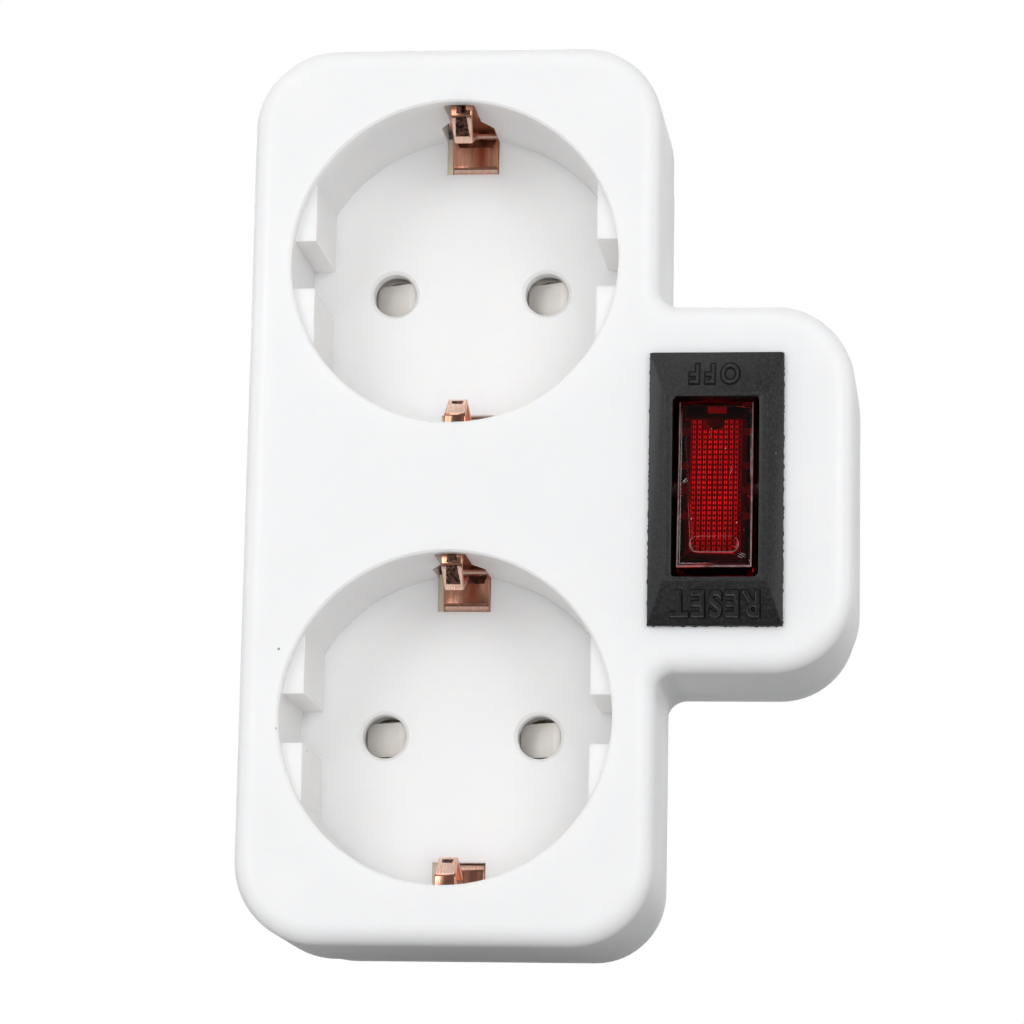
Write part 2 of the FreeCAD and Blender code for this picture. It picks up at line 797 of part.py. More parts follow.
def make_switch_body():
    """The black insert: sloped bezel outside, rectangular box with snap lugs inside."""
    edge_y = face_y - bezel_edge
    rim_x = opening_width / 2 + bezel_rim_side
    rim_z = opening_height / 2 + bezel_rim_end
    slab = switch_block(bezel_width / 2, bezel_height / 2, edge_y, face_y)
    rise = Part.makeLoft([switch_rectangle(bezel_width / 2, bezel_height / 2, edge_y),
                          switch_rectangle(rim_x, rim_z, bezel_y)], True, True)
    inside = switch_block(switch_width / 2, switch_height / 2, face_y, base_y)
    body = joined(slab, rise, inside)
    lug_y = face_y + wall + switch_fit
    for out in (1, -1):
        end = switch_z + out * switch_height / 2
        wedge = [(lug_y, end), (lug_y, end + out * lug_reach), (lug_y + lug_length, end)]
        wire = outline(wedge, [0] * 3, lambda p: vec(switch_x - lug_width / 2, p.x, p.y))
        body = joined(body, Part.Face(wire).extrude(vec(lug_width, 0, 0)))
    deck_y = face_y + deck_depth
    half_x = switch_width / 2 - switch_wall
    half_z = switch_height / 2 - switch_wall
    bore_reach = opening_width / 2 + axle_reach + axle_gap
    return without(body,
                   switch_block(opening_width / 2, opening_height / 2, bezel_y - past, deck_y + past),
                   switch_block(half_x, half_z, deck_y, base_y + past),
                   rod_x(pivot_y, switch_z, axle_r + axle_gap,
                         switch_x - bore_reach, switch_x + bore_reach))


def blade_places():
    """The three blades of the switch as name and height."""
    return [("line_out", switch_z + blade_pitch), ("line_in", switch_z),
            ("lamp", switch_z - blade_pitch)]


def make_switch_base():
    """The plate that closes the switch and carries its blades, with the stop post inside."""
    plate = switch_block(switch_width / 2, switch_height / 2, base_y, base_y + base_t)
    inner_x = switch_width / 2 - switch_wall - base_gap
    inner_z = switch_height / 2 - switch_wall - base_gap
    step = switch_block(inner_x, inner_z, base_y - base_step, base_y)
    lean = math.radians(tilt_throw / 2)
    plate_low = tilt_half * math.sin(lean) - (tilt_height - tilt_t) * math.cos(lean)
    stop = box(switch_x - stop_half, switch_x + stop_half, tilt_y + plate_low + stop_gap, base_y,
               switch_z - tilt_half, switch_z - tilt_half + stop_t)
    base = joined(plate, step, stop)
    slots = []
    for name, z in blade_places():
        half_x = blade_width / 2 + blade_fit
        half_z = blade_t / 2 + blade_fit
        slots.append(box(switch_x - half_x, switch_x + half_x, base_y - base_step - past,
                         base_y + base_t + past, z - half_z, z + half_z))
    return without(base, *slots)


def blade_end():
    return base_y + base_t + blade_reach


def make_line_in_blade():
    """The middle blade, with the cradle that the tilting contact rocks in."""
    low_y = tilt_y + cradle_depth
    blade = box(switch_x - blade_width / 2, switch_x + blade_width / 2, low_y, blade_end(),
                switch_z - blade_t / 2, switch_z + blade_t / 2)
    cradle = box(switch_x - tilt_width / 2, switch_x + tilt_width / 2, tilt_y + cradle_gap, low_y,
                 switch_z - cradle_half, switch_z + cradle_half)
    groove = rod_x(tilt_y, switch_z, tilt_bead_r + cradle_gap,
                   switch_x - blade_width / 2, switch_x + blade_width / 2)
    return without(joined(blade, cradle), groove)


def contact_meeting_y():
    """Where the tilting contact's button arrives when the switch is on."""
    lean = math.radians(tilt_throw / 2)
    low = contact_t - (tilt_height - tilt_t)
    return tilt_y + low * math.cos(lean) + contact_x * math.sin(lean)


def make_line_out_blade():
    """The outer blade: a strip that warps when it is overloaded, with the fixed button."""
    z = switch_z + blade_pitch
    shelf_y = contact_meeting_y() + contact_gap + contact_t + blade_t / 2
    points = [(blade_end(), z), (shelf_y, z), (shelf_y, switch_z + contact_x - shelf_tail)]
    strip = folded_along_x(points, fold_r, blade_t, tilt_width / 2, switch_x)
    stem = box(switch_x - blade_width / 2, switch_x + blade_width / 2, base_y, blade_end(),
               z - blade_t / 2, z + blade_t / 2)
    button = rod_y(switch_x, switch_z + contact_x - contact_shift, contact_r,
                   shelf_y - blade_t / 2 - contact_t, shelf_y)
    return joined(strip, stem, button)


def lamp_centre():
    return face_y + lamp_depth, switch_z - lamp_z


def make_lamp_blade():
    """The blade that feeds the lamp, folded into a shelf for lamp and resistor."""
    z = switch_z - blade_pitch
    lamp_y, lamp_at = lamp_centre()
    shelf_y = lamp_y + lamp_r + blade_t / 2
    points = [(blade_end(), z), (shelf_y, z), (shelf_y, lamp_at + lamp_shelf_tail)]
    strip = folded_along_x(points, fold_r, blade_t, tilt_width / 2, switch_x)
    stem = box(switch_x - blade_width / 2, switch_x + blade_width / 2, base_y, blade_end(),
               z - blade_t / 2, z + blade_t / 2)
    return joined(strip, stem)


def make_lamp():
    """The small glow lamp under the rocker: a glass tube with a pinched end."""
    y, z = lamp_centre()
    tip_x = switch_x + lamp_length / 2 - lamp_r
    tube = rod_x(y, z, lamp_r, switch_x - lamp_length / 2, tip_x)
    end = Part.makeCone(lamp_r, lamp_r / 4, lamp_r, vec(tip_x, y, z), vec(1, 0, 0))
    return joined(tube, end)


def make_resistor():
    """The resistor beside the lamp, on the same shelf."""
    y, z = lamp_centre()
    beside = z - lamp_r - resistor_r - resistor_gap
    return rod_x(y + lamp_r - resistor_r, beside, resistor_r,
                 switch_x - resistor_length / 2, switch_x + resistor_length / 2)


def rocked(shape):
    """Turn a piece modelled level to the rocker's rest, with its upper end pressed in."""
    shape.rotate(vec(switch_x, pivot_y, switch_z), vec(1, 0, 0), -rocker_throw / 2)
    return shape


def rocker_section(half, front_y, back_y, r, x):
    """Side profile of the rocker: flat front, ends curved about the axle."""
    reach = math.sqrt(half ** 2 + (front_y - pivot_y) ** 2) - r
    low = math.sqrt(reach ** 2 - (back_y - pivot_y) ** 2)
    high = math.sqrt(reach ** 2 - (front_y - pivot_y) ** 2)
    edges = []
    for out in (1, -1):
        ends = [vec(x, front_y, switch_z + out * high), vec(x, pivot_y, switch_z + out * reach),
                vec(x, back_y, switch_z + out * low)]
        edges.append(Part.Arc(*ends).toShape())
    for y, z in ((front_y, high), (back_y, low)):
        edges.append(Part.LineSegment(vec(x, y, switch_z - z), vec(x, y, switch_z + z)).toShape())
    return Part.Wire(Part.__sortEdges__(edges))


def make_rocker_lens():
    """The clear red cap, hollow, with a raised touch mark and slots for the axle."""
    back_y = bezel_y + rocker_skirt
    half_x = rocker_width / 2
    face = Part.Face(rocker_section(rocker_half, bezel_y, back_y, 0, switch_x - half_x))
    cap = face.extrude(vec(rocker_width, 0, 0))
    lean = [(-half_x - past, bezel_y - past), (-half_x + rocker_draft, bezel_y - past),
            (-half_x, back_y + past), (-half_x - past, back_y + past)]
    low_z = switch_z - opening_height / 2
    shaves = []
    for side in (1, -1):
        place = (lambda p, side=side: vec(switch_x + side * p.x, p.y, low_z))
        shaves.append(Part.Face(outline(lean, [0] * 4, place)).extrude(vec(0, 0, opening_height)))
    cap = without(cap, *shaves)
    front = rim_edges(cap, bezel_y)
    cap = cap.makeFillet(rocker_edge_r, front)
    half = (pill_length - pill_width) / 2
    pill_z = switch_z - rocker_half + pill_inset + pill_width / 2
    pill = box(switch_x - half, switch_x + half, bezel_y - pill_rise, bezel_y + rocker_wall / 2,
               pill_z - pill_width / 2, pill_z + pill_width / 2)
    ends = []
    for side in (1, -1):
        ends.append(rod_y(switch_x + side * half, pill_z, pill_width / 2,
                          bezel_y - pill_rise, bezel_y + rocker_wall / 2))
    pill = joined(pill, *ends)
    cap = joined(cap, pill.makeFillet(pill_edge_r, rim_edges(pill, bezel_y - pill_rise)))
    inner_x = half_x - rocker_wall
    hollow = Part.Face(rocker_section(rocker_half, bezel_y + rocker_wall, back_y + past,
                                      rocker_wall, switch_x - inner_x))
    hollow = hollow.extrude(vec(2 * inner_x, 0, 0))
    slot = axle_r + axle_slot_gap
    x0 = switch_x - half_x - past
    x1 = switch_x + half_x + past
    slots = joined(rod_x(pivot_y, switch_z, slot, x0, x1),
                   box(x0, x1, pivot_y, back_y + past, switch_z - slot, switch_z + slot))
    return rocked(without(cap, hollow, slots))


def make_rocker_diffuser():
    """The thin plate under the cap that spreads the lamp's light, notched at the upper end."""
    front = bezel_y + rocker_wall
    plate = switch_block(diffuser_width / 2, diffuser_height / 2, front, front + diffuser_t)
    notch = rod_y(switch_x, switch_z + diffuser_height / 2, diffuser_notch_r,
                  front - past, front + diffuser_t + past)
    return rocked(without(plate, notch))


def make_rocker_carrier():
    """The black frame inside the cap, with the axle stubs and the plunger's barrel."""
    front = bezel_y + rocker_wall + diffuser_t
    back = front + carrier_t
    half_x = rocker_width / 2 - rocker_wall - carrier_gap
    half_z = rocker_half - rocker_wall - carrier_end_gap
    frame = switch_block(half_x, half_z, front, back)
    windows = []
    for out in (1, -1):
        middle = switch_z + out * (half_z + plunger_boss_r) / 2
        reach = (half_z - plunger_boss_r) / 2 - carrier_bar
        windows.append(box(switch_x - half_x + carrier_bar, switch_x + half_x - carrier_bar,
                           front - past, back + past, middle - reach, middle + reach))
    barrel = rod_y(switch_x, switch_z, plunger_boss_r, front, pivot_y + plunger_boss_depth)
    axle_x = opening_width / 2 + axle_reach
    axle = rod_x(pivot_y, switch_z, axle_r, switch_x - axle_x, switch_x + axle_x)
    bore = rod_y(switch_x, switch_z, plunger_r + plunger_gap, front + barrel_end,
                 pivot_y + plunger_boss_depth + past)
    return rocked(without(joined(without(frame, *windows), barrel, axle), bore))


def make_plunger():
    """The sprung pin that rocks the contact, with a round nose."""
    tip_y = pivot_y + plunger_reach
    pin = rod_y(switch_x, switch_z, plunger_r, tip_y - plunger_length, tip_y - plunger_r)
    nose = Part.makeSphere(plunger_r, vec(switch_x, tip_y - plunger_r, switch_z))
    return rocked(joined(pin, nose))


def make_plunger_spring():
    """The coil behind the plunger, inside the barrel."""
    start = bezel_y + rocker_wall + diffuser_t + barrel_end
    end = pivot_y + plunger_reach - plunger_length
    length = end - start - 2 * plunger_end_gap
    spring = make_coil(plunger_r - plunger_gap, plunger_wire, length, plunger_turns)
    spring.rotate(vec(0, 0, 0), vec(1, 0, 0), -90)
    spring.translate(vec(switch_x, start + plunger_end_gap, switch_z))
    return rocked(spring)


def make_tilting_contact():
    """The copper see-saw that the plunger tips, with its contact button."""
    front = tilt_y - tilt_height
    plate = box(switch_x - tilt_width / 2, switch_x + tilt_width / 2, front, front + tilt_t,
                switch_z - tilt_half, switch_z + tilt_half)
    bead = rod_x(tilt_y, switch_z, tilt_bead_r, switch_x - tilt_width / 2,
                 switch_x + tilt_width / 2)
    neck = box(switch_x - tilt_width / 2, switch_x + tilt_width / 2, front, tilt_y,
               switch_z - tilt_neck, switch_z + tilt_neck)
    button = rod_y(switch_x, switch_z + contact_x, contact_r - contact_shift,
                   front, front + tilt_t + contact_t)
    shape = joined(plate, bead, neck, button)
    shape.rotate(vec(switch_x, tilt_y, switch_z), vec(1, 0, 0), tilt_throw / 2)
    return shape


def make_screws():
    """All housing screws as one group: a flat head and a plain shank each."""
    screws = []
    for x, z in boss_places():
        head = rod_y(x, z, screw_head_r, seat_y, seat_y + screw_head_t)
        shank = rod_y(x, z, screw_r - screw_fit, seat_y - screw_length + screw_point_gap, seat_y)
        screws.append(joined(head, shank))
    return Part.makeCompound(screws)


def make_wire(points):
    """An insulated wire: straight runs joined by arcs as large as the runs allow."""
    corners = [vec(*p) for p in points]
    spots = [corners[0]]
    for before, corner, after in zip(corners, corners[1:], corners[2:]):
        back = before - corner
        ahead = after - corner
        half = back.getAngle(ahead) / 2
        r = wire_bend_share * min(back.Length, ahead.Length) * math.tan(half)
        arc = Part.Arc(*corner_arc(before, corner, after, r)).toShape()
        spots.extend(arc.discretize(Number=wire_steps))
    spots.append(corners[-1])
    return swept_rod(spots, wire_r, wire_sides)


def make_wires():
    """Line pin to switch, switch to line bar, and neutral bar to the lamp's blade."""
    blades = dict(blade_places())
    blade_y = blade_end() - wire_setback
    right = switch_x + wire_tail
    left = switch_x - blade_width / 2
    side = blade_t / 2 + wire_r
    link_y = rail_back_y + line_link_lift + rail_t + wire_r
    link_z = collar_r + link_gap - rail_t / 2 - wire_r
    back_y = rail_back_y + wire_r
    line_z = blades["line_out"] + side
    lamp_line_z = blades["lamp"] - side
    line_in_z = blades["line_in"] - side
    return {
        "wire_line_in": [(pin_x - wire_tail, link_y, link_z),
                         (pin_x + 1.5 * wire_run, link_y, link_z),
                         (left - wire_run, blade_y, line_in_z), (right, blade_y, line_in_z)],
        "wire_line_out": [(right, blade_y, line_z), (left - wire_run, blade_y, line_z),
                          (pin_x + 1.5 * wire_run, back_y, line_z + wire_tail),
                          (pin_x - wire_tail, back_y, line_z + wire_tail)],
        "wire_lamp": [(-pin_x - wire_tail, back_y, lamp_line_z - wire_tail),
                      (pin_x + 2 * wire_run, back_y, lamp_line_z - wire_tail),
                      (left - wire_run, blade_y, lamp_line_z), (right, blade_y, lamp_line_z)],
    }


def make_all():
    nodes = {
        "front_housing": make_front_housing(),
        "rear_cover": make_rear_cover(),
        "plug_pin_line": make_plug_pin(pin_x),
        "plug_pin_neutral": make_plug_pin(-pin_x),
        "plug_earth_strap": make_plug_earth_strap(),
        "earth_rail": make_earth_rail(),
        "line_link": make_link(pin_x, rail_back_y + line_link_lift + rail_t / 2, 0.0),
        "neutral_link": make_link(-pin_x, rail_back_y + rail_t / 2, collar_r + link_foot),
        "line_bar": make_bar(pin_x),
        "neutral_bar": make_bar(-pin_x),
        "switch_body": make_switch_body(),
        "switch_base": make_switch_base(),
        "switch_blade_line_in": make_line_in_blade(),
        "switch_blade_line_out": make_line_out_blade(),
        "switch_blade_lamp": make_lamp_blade(),
        "glow_lamp": make_lamp(),
        "lamp_resistor": make_resistor(),
        "rocker_lens": make_rocker_lens(),
        "rocker_diffuser": make_rocker_diffuser(),
        "rocker_carrier": make_rocker_carrier(),
        "rocker_plunger": make_plunger(),
        "plunger_spring": make_plunger_spring(),
        "tilting_contact": make_tilting_contact(),
        "housing_screws": make_screws(),
    }
    for name, centre, out in well_ends():
        nodes["earth_clip_" + name] = make_earth_clip(centre, out)
    for place, centre in (("upper", well_z), ("lower", -well_z)):
        nodes["shutter_" + place] = make_shutter(centre)
        nodes["shutter_retainer_" + place] = make_shutter_retainer(centre)
        nodes["shutter_spring_" + place] = make_shutter_spring(centre)
        nodes["line_grip_" + place] = make_grip(pin_x, centre)
        nodes["neutral_grip_" + place] = make_grip(-pin_x, centre)
    for name, points in make_wires().items():
        nodes[name] = make_wire(points)
    return nodes


os.makedirs("parts", exist_ok=True)
for name, shape in make_all().items():
    shape.exportStep("parts/" + name + ".step")
    solids = len(shape.Solids)
    print(name, "solids", solids, "volume", round(shape.Volume, 2), "valid", shape.isValid())
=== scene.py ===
import json
import math
import random

import bpy
from mathutils import Matrix, Vector

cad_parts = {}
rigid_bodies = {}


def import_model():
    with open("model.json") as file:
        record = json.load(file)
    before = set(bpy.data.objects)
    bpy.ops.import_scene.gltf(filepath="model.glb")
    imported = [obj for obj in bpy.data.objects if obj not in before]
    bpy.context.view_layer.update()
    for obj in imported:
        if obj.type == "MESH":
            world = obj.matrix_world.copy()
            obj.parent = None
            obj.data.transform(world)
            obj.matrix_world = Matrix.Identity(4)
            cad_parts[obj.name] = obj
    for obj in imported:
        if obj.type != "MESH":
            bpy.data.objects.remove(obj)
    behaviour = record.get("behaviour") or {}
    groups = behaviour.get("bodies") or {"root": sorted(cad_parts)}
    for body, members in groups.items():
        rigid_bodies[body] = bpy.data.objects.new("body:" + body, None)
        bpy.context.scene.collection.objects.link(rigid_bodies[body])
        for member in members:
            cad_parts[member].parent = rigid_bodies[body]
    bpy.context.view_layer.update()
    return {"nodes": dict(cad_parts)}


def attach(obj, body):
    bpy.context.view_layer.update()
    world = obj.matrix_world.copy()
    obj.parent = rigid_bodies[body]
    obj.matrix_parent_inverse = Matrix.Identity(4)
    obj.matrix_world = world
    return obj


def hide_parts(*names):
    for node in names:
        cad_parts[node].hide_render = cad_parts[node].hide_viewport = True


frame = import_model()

mm = 0.001
nodes = frame["nodes"]

# places in the row's frame, in millimetres, that several pieces share
switchPlace = {
    "middleX": 31.83, "middleZ": -0.45,
    "faceY": -56.5, "bezelTopY": -58.5,
    "pivotY": -55.8, "restAngle": 7.0,
}


# camera

cameraSettings = {
    "place": (61.517, -545.767, -95.824),
    "turn": (100.6625, -1.0517, 6.0899),
    "lens": 148.28, "sensor": 36.0, "near": 0.01, "far": 20.0,
}


def addCamera(s):
    cameraData = bpy.data.cameras.new("shotCamera")
    cameraData.lens = s["lens"]
    cameraData.sensor_width = s["sensor"]
    cameraData.clip_start = s["near"]
    cameraData.clip_end = s["far"]
    camera = bpy.data.objects.new("shotCamera", cameraData)
    bpy.context.scene.collection.objects.link(camera)
    camera.location = Vector(s["place"]) * mm
    camera.rotation_euler = [math.radians(a) for a in s["turn"]]
    bpy.context.scene.camera = camera


addCamera(cameraSettings)
bpy.context.scene.view_settings.view_transform = "Standard"
print("camera placed")


# small helpers for shaping

cleaning = {"merge": 0.01, "flat": 1.0}


def deselectAll():
    if bpy.context.mode != "OBJECT":
        bpy.ops.object.mode_set(mode="OBJECT")
    for o in bpy.context.view_layer.objects:
        o.select_set(False)


def takeUp(piece):
    deselectAll()
    piece.select_set(True)
    bpy.context.view_layer.objects.active = piece


def applyModifiers(piece):
    takeUp(piece)
    for m in list(piece.modifiers):
        bpy.ops.object.modifier_apply(modifier=m.name)


def settle(piece):
    takeUp(piece)
    bpy.ops.object.transform_apply(location=True, rotation=True, scale=True)


def smoothByAngle(piece, degrees):
    takeUp(piece)
    bpy.ops.object.shade_smooth_by_angle(angle=math.radians(degrees))


def copyOfNode(nodeName, pieceName):
    piece = bpy.data.objects.new(pieceName, nodes[nodeName].data.copy())
    bpy.context.scene.collection.objects.link(piece)
    piece.data.materials.clear()
    takeUp(piece)
    bpy.ops.object.mode_set(mode="EDIT")
    bpy.ops.mesh.select_all(action="SELECT")
    bpy.ops.mesh.remove_doubles(threshold=cleaning["merge"] * mm)
    bpy.ops.mesh.customdata_custom_splitnormals_clear()
    bpy.ops.mesh.dissolve_limited(angle_limit=math.radians(cleaning["flat"]))
    bpy.ops.object.mode_set(mode="OBJECT")
    return piece


def softenEdges(piece, width, segments=2, angle=30):
    bevel = piece.modifiers.new("softEdges", "BEVEL")
    bevel.width = width * mm
    bevel.segments = segments
    bevel.limit_method = "ANGLE"
    bevel.angle_limit = math.radians(angle)
    bevel.harden_normals = False
    bevel.use_clamp_overlap = True
    applyModifiers(piece)


def pointOutwards(piece):
    takeUp(piece)
    bpy.ops.object.mode_set(mode="EDIT")
    bpy.ops.mesh.select_all(action="SELECT")
    bpy.ops.mesh.normals_make_consistent(inside=False)
    bpy.ops.object.mode_set(mode="OBJECT")


def addThickness(piece, thick, side):
    solid = piece.modifiers.new("thickness", "SOLIDIFY")
    solid.thickness = thick * mm
    solid.offset = side
    applyModifiers(piece)
    pointOutwards(piece)


def joinPieces(pieces, name):
    deselectAll()
    for piece in pieces:
        piece.select_set(True)
    bpy.context.view_layer.objects.active = pieces[0]
    bpy.ops.object.join()
    pieces[0].name = name
    return pieces[0]


def boxPiece(name, low, high):
    size = [(h - l) * mm for l, h in zip(low, high)]
    middle = [(h + l) / 2 * mm for l, h in zip(low, high)]
    deselectAll()
    bpy.ops.mesh.primitive_cube_add(size=1.0, location=middle)
    piece = bpy.context.active_object
    piece.name = name
    piece.scale = size
    settle(piece)
    return piece


def turnAbout(piece, y, z, degrees):
    centre = Vector((0, y * mm, z * mm))
    turn = Matrix.Rotation(math.radians(degrees), 4, "X")
    piece.data.transform(Matrix.Translation(centre) @ turn @ Matrix.Translation(-centre))


def leanWithRocker(piece):
    turnAbout(piece, switchPlace["pivotY"], switchPlace["middleZ"], -switchPlace["restAngle"])


# shader groups that several finishes share

def startGroup(name, inputs, outputs):
    group = bpy.data.node_groups.new(name, "ShaderNodeTree")
    for label, kind, value in inputs:
        socket = group.interface.new_socket(label, in_out="INPUT", socket_type=kind)
        if value is not None:
            socket.default_value = value
    for label, kind in outputs:
        group.interface.new_socket(label, in_out="OUTPUT", socket_type=kind)
    enter = group.nodes.new("NodeGroupInput")
    leave = group.nodes.new("NodeGroupOutput")
    return group, enter, leave


def mathNode(tree, operation, a, b):
    node = tree.nodes.new("ShaderNodeMath")
    node.operation = operation
    for i, v in enumerate((a, b)):
        if isinstance(v, (int, float)):
            node.inputs[i].default_value = v
        else:
            tree.links.new(v, node.inputs[i])
    return node.outputs[0]


def makeGrainGroup():
    group, enter, leave = startGroup(
        "mouldGrain",
        [("Vector", "NodeSocketVector", None), ("Scale", "NodeSocketFloat", 3000.0)],
        [("Height", "NodeSocketFloat")])
    fine = group.nodes.new("ShaderNodeTexNoise")
    fine.inputs["Detail"].default_value = 3.0
    coarse = group.nodes.new("ShaderNodeTexNoise")
    coarse.inputs["Detail"].default_value = 1.0
    group.links.new(enter.outputs["Vector"], fine.inputs["Vector"])
    group.links.new(enter.outputs["Vector"], coarse.inputs["Vector"])
    group.links.new(enter.outputs["Scale"], fine.inputs["Scale"])
    group.links.new(mathNode(group, "MULTIPLY", enter.outputs["Scale"], 0.12), coarse.inputs["Scale"])
    both = mathNode(group, "ADD", fine.outputs["Fac"], coarse.outputs["Fac"])
    group.links.new(mathNode(group, "MULTIPLY", both, 0.5), leave.inputs["Height"])
    return group


def makeSpeckGroup():
    group, enter, leave = startGroup(
        "dustSpecks",
        [("Vector", "NodeSocketVector", None), ("Scale", "NodeSocketFloat", 400.0),
         ("Share", "NodeSocketFloat", 0.1), ("Size", "NodeSocketFloat", 0.08)],
        [("Mask", "NodeSocketFloat")])
    cells = group.nodes.new("ShaderNodeTexVoronoi")
    group.links.new(enter.outputs["Vector"], cells.inputs["Vector"])
    group.links.new(enter.outputs["Scale"], cells.inputs["Scale"])
    near = mathNode(group, "LESS_THAN", cells.outputs["Distance"], enter.outputs["Size"])
    pick = group.nodes.new("ShaderNodeSeparateColor")
    group.links.new(cells.outputs["Color"], pick.inputs["Color"])
    chosen = mathNode(group, "LESS_THAN", pick.outputs[0], enter.outputs["Share"])
    group.links.new(mathNode(group, "MULTIPLY", near, chosen), leave.inputs["Mask"])
    return group


def makeMottleGroup():
    group, enter, leave = startGroup(
        "softMottle",
        [("Vector", "NodeSocketVector", None), ("Scale", "NodeSocketFloat", 40.0),
         ("Low", "NodeSocketFloat", 0.35), ("High", "NodeSocketFloat", 0.65)],
        [("Mask", "NodeSocketFloat")])
    cloud = group.nodes.new("ShaderNodeTexNoise")
    cloud.inputs["Detail"].default_value = 4.0
    group.links.new(enter.outputs["Vector"], cloud.inputs["Vector"])
    group.links.new(enter.outputs["Scale"], cloud.inputs["Scale"])
    spread = group.nodes.new("ShaderNodeMapRange")
    group.links.new(cloud.outputs["Fac"], spread.inputs["Value"])
    group.links.new(enter.outputs["Low"], spread.inputs["From Min"])
    group.links.new(enter.outputs["High"], spread.inputs["From Max"])
    group.links.new(spread.outputs["Result"], leave.inputs["Mask"])
    return group


groups = {"grain": makeGrainGroup(), "specks": makeSpeckGroup(), "mottle": makeMottleGroup()}
print("shader groups made")


class Finish:
    def __init__(self, name):
        self.material = bpy.data.materials.new(name)
        self.material.use_nodes = True
        self.tree = self.material.node_tree
        self.shader = self.tree.nodes["Principled BSDF"]
        self.coords = self.tree.nodes.new("ShaderNodeTexCoord").outputs["Object"]

    def put(self, **values):
        for key, value in values.items():
            self.shader.inputs[key.replace("_", " ")].default_value = value

    def group(self, key, output, **values):
        node = self.tree.nodes.new("ShaderNodeGroup")
        node.node_tree = groups[key]
        self.tree.links.new(values.pop("vector", self.coords), node.inputs["Vector"])
        for label, value in values.items():
            node.inputs[label].default_value = value
        return node.outputs[output]

    def stretched(self, scale):
        mapping = self.tree.nodes.new("ShaderNodeMapping")
        mapping.inputs["Scale"].default_value = scale
        self.tree.links.new(self.coords, mapping.inputs["Vector"])
        return mapping.outputs["Vector"]

    def mixColour(self, mask, a, b, strength=1.0):
        mix = self.tree.nodes.new("ShaderNodeMix")
        mix.data_type = "RGBA"
        if strength != 1.0:
            mask = mathNode(self.tree, "MULTIPLY", mask, strength)
        self.tree.links.new(mask, mix.inputs["Factor"])
        for socket, value in ((mix.inputs[6], a), (mix.inputs[7], b)):
            if isinstance(value, tuple):
                socket.default_value = (*value, 1.0)
            else:
                self.tree.links.new(value, socket)
        return mix.outputs[2]

    def between(self, mask, low, high):
        spread = self.tree.nodes.new("ShaderNodeMapRange")
        self.tree.links.new(mask, spread.inputs["Value"])
        spread.inputs["To Min"].default_value = low
        spread.inputs["To Max"].default_value = high
        return spread.outputs["Result"]

    def colour(self, source):
        self.tree.links.new(source, self.shader.inputs["Base Color"])

    def roughness(self, source):
        self.tree.links.new(source, self.shader.inputs["Roughness"])

    def bump(self, height, distance, strength=1.0):
        node = self.tree.nodes.new("ShaderNodeBump")
        node.inputs["Strength"].default_value = strength
        node.inputs["Distance"].default_value = distance * mm
        self.tree.links.new(height, node.inputs["Height"])
        self.tree.links.new(node.outputs["Normal"], self.shader.inputs["Normal"])


# finishes

housingLook = {
    "white": (0.95, 0.943, 0.936), "shade": (0.935, 0.928, 0.917), "mottleScale": 70.0,
    "dirt": (0.25, 0.20, 0.15), "dirtStrength": 0.8,
    "speckScale": 350.0, "speckShare": 0.02, "speckSize": 0.06,
    "gloss": (0.34, 0.46), "specular": 0.45, "grain": 0.004, "grainScale": 2600.0,
    "depth": 0.5, "depthScale": 0.004, "depthRadius": (1.0, 0.85, 0.7),
}


def makeHousingFinish(s):
    f = Finish("housingPlastic")
    mottle = f.group("mottle", "Mask", Scale=s["mottleScale"])
    specks = f.group("specks", "Mask", Scale=s["speckScale"], Share=s["speckShare"],
                     Size=s["speckSize"])
    tone = f.mixColour(mottle, s["white"], s["shade"])
    f.colour(f.mixColour(specks, tone, s["dirt"], s["dirtStrength"]))
    f.roughness(f.between(mottle, *s["gloss"]))
    f.bump(f.group("grain", "Height", Scale=s["grainScale"]), s["grain"])
    f.put(Specular_IOR_Level=s["specular"], Subsurface_Weight=s["depth"],
          Subsurface_Scale=s["depthScale"], Subsurface_Radius=s["depthRadius"])
    return f.material


bezelLook = {
    "black": (0.009, 0.009, 0.010), "worn": (0.045, 0.045, 0.048), "wornStrength": 0.5,
    "mottleScale": 3200.0, "mottleRange": (0.42, 0.72),
    "dust": (0.5, 0.5, 0.5), "dustStrength": 0.5,
    "speckScale": 900.0, "speckShare": 0.03, "speckSize": 0.09,
    "gloss": (0.34, 0.5), "specular": 0.5, "grain": 0.05, "grainScale": 5200.0,
}


def makeBezelFinish(s):
    f = Finish("bezelPlastic")
    low, high = s["mottleRange"]
    mottle = f.group("mottle", "Mask", Scale=s["mottleScale"], Low=low, High=high)
    specks = f.group("specks", "Mask", Scale=s["speckScale"], Share=s["speckShare"],
                     Size=s["speckSize"])
    tone = f.mixColour(mottle, s["black"], s["worn"], s["wornStrength"])
    f.colour(f.mixColour(specks, tone, s["dust"], s["dustStrength"]))
    f.roughness(f.between(mottle, *s["gloss"]))
    f.bump(f.group("grain", "Height", Scale=s["grainScale"]), s["grain"])
    f.put(Specular_IOR_Level=s["specular"])
    return f.material


copperLook = {
    "copper": (0.90, 0.46, 0.32), "dull": (0.36, 0.13, 0.08), "dullStrength": 0.75,
    "stretch": (6.0, 0.6, 0.6), "streakScale": 260.0, "streakRange": (0.3, 0.75),
    "gloss": (0.10, 0.30), "scratch": 0.005, "scratchScale": 1400.0,
}


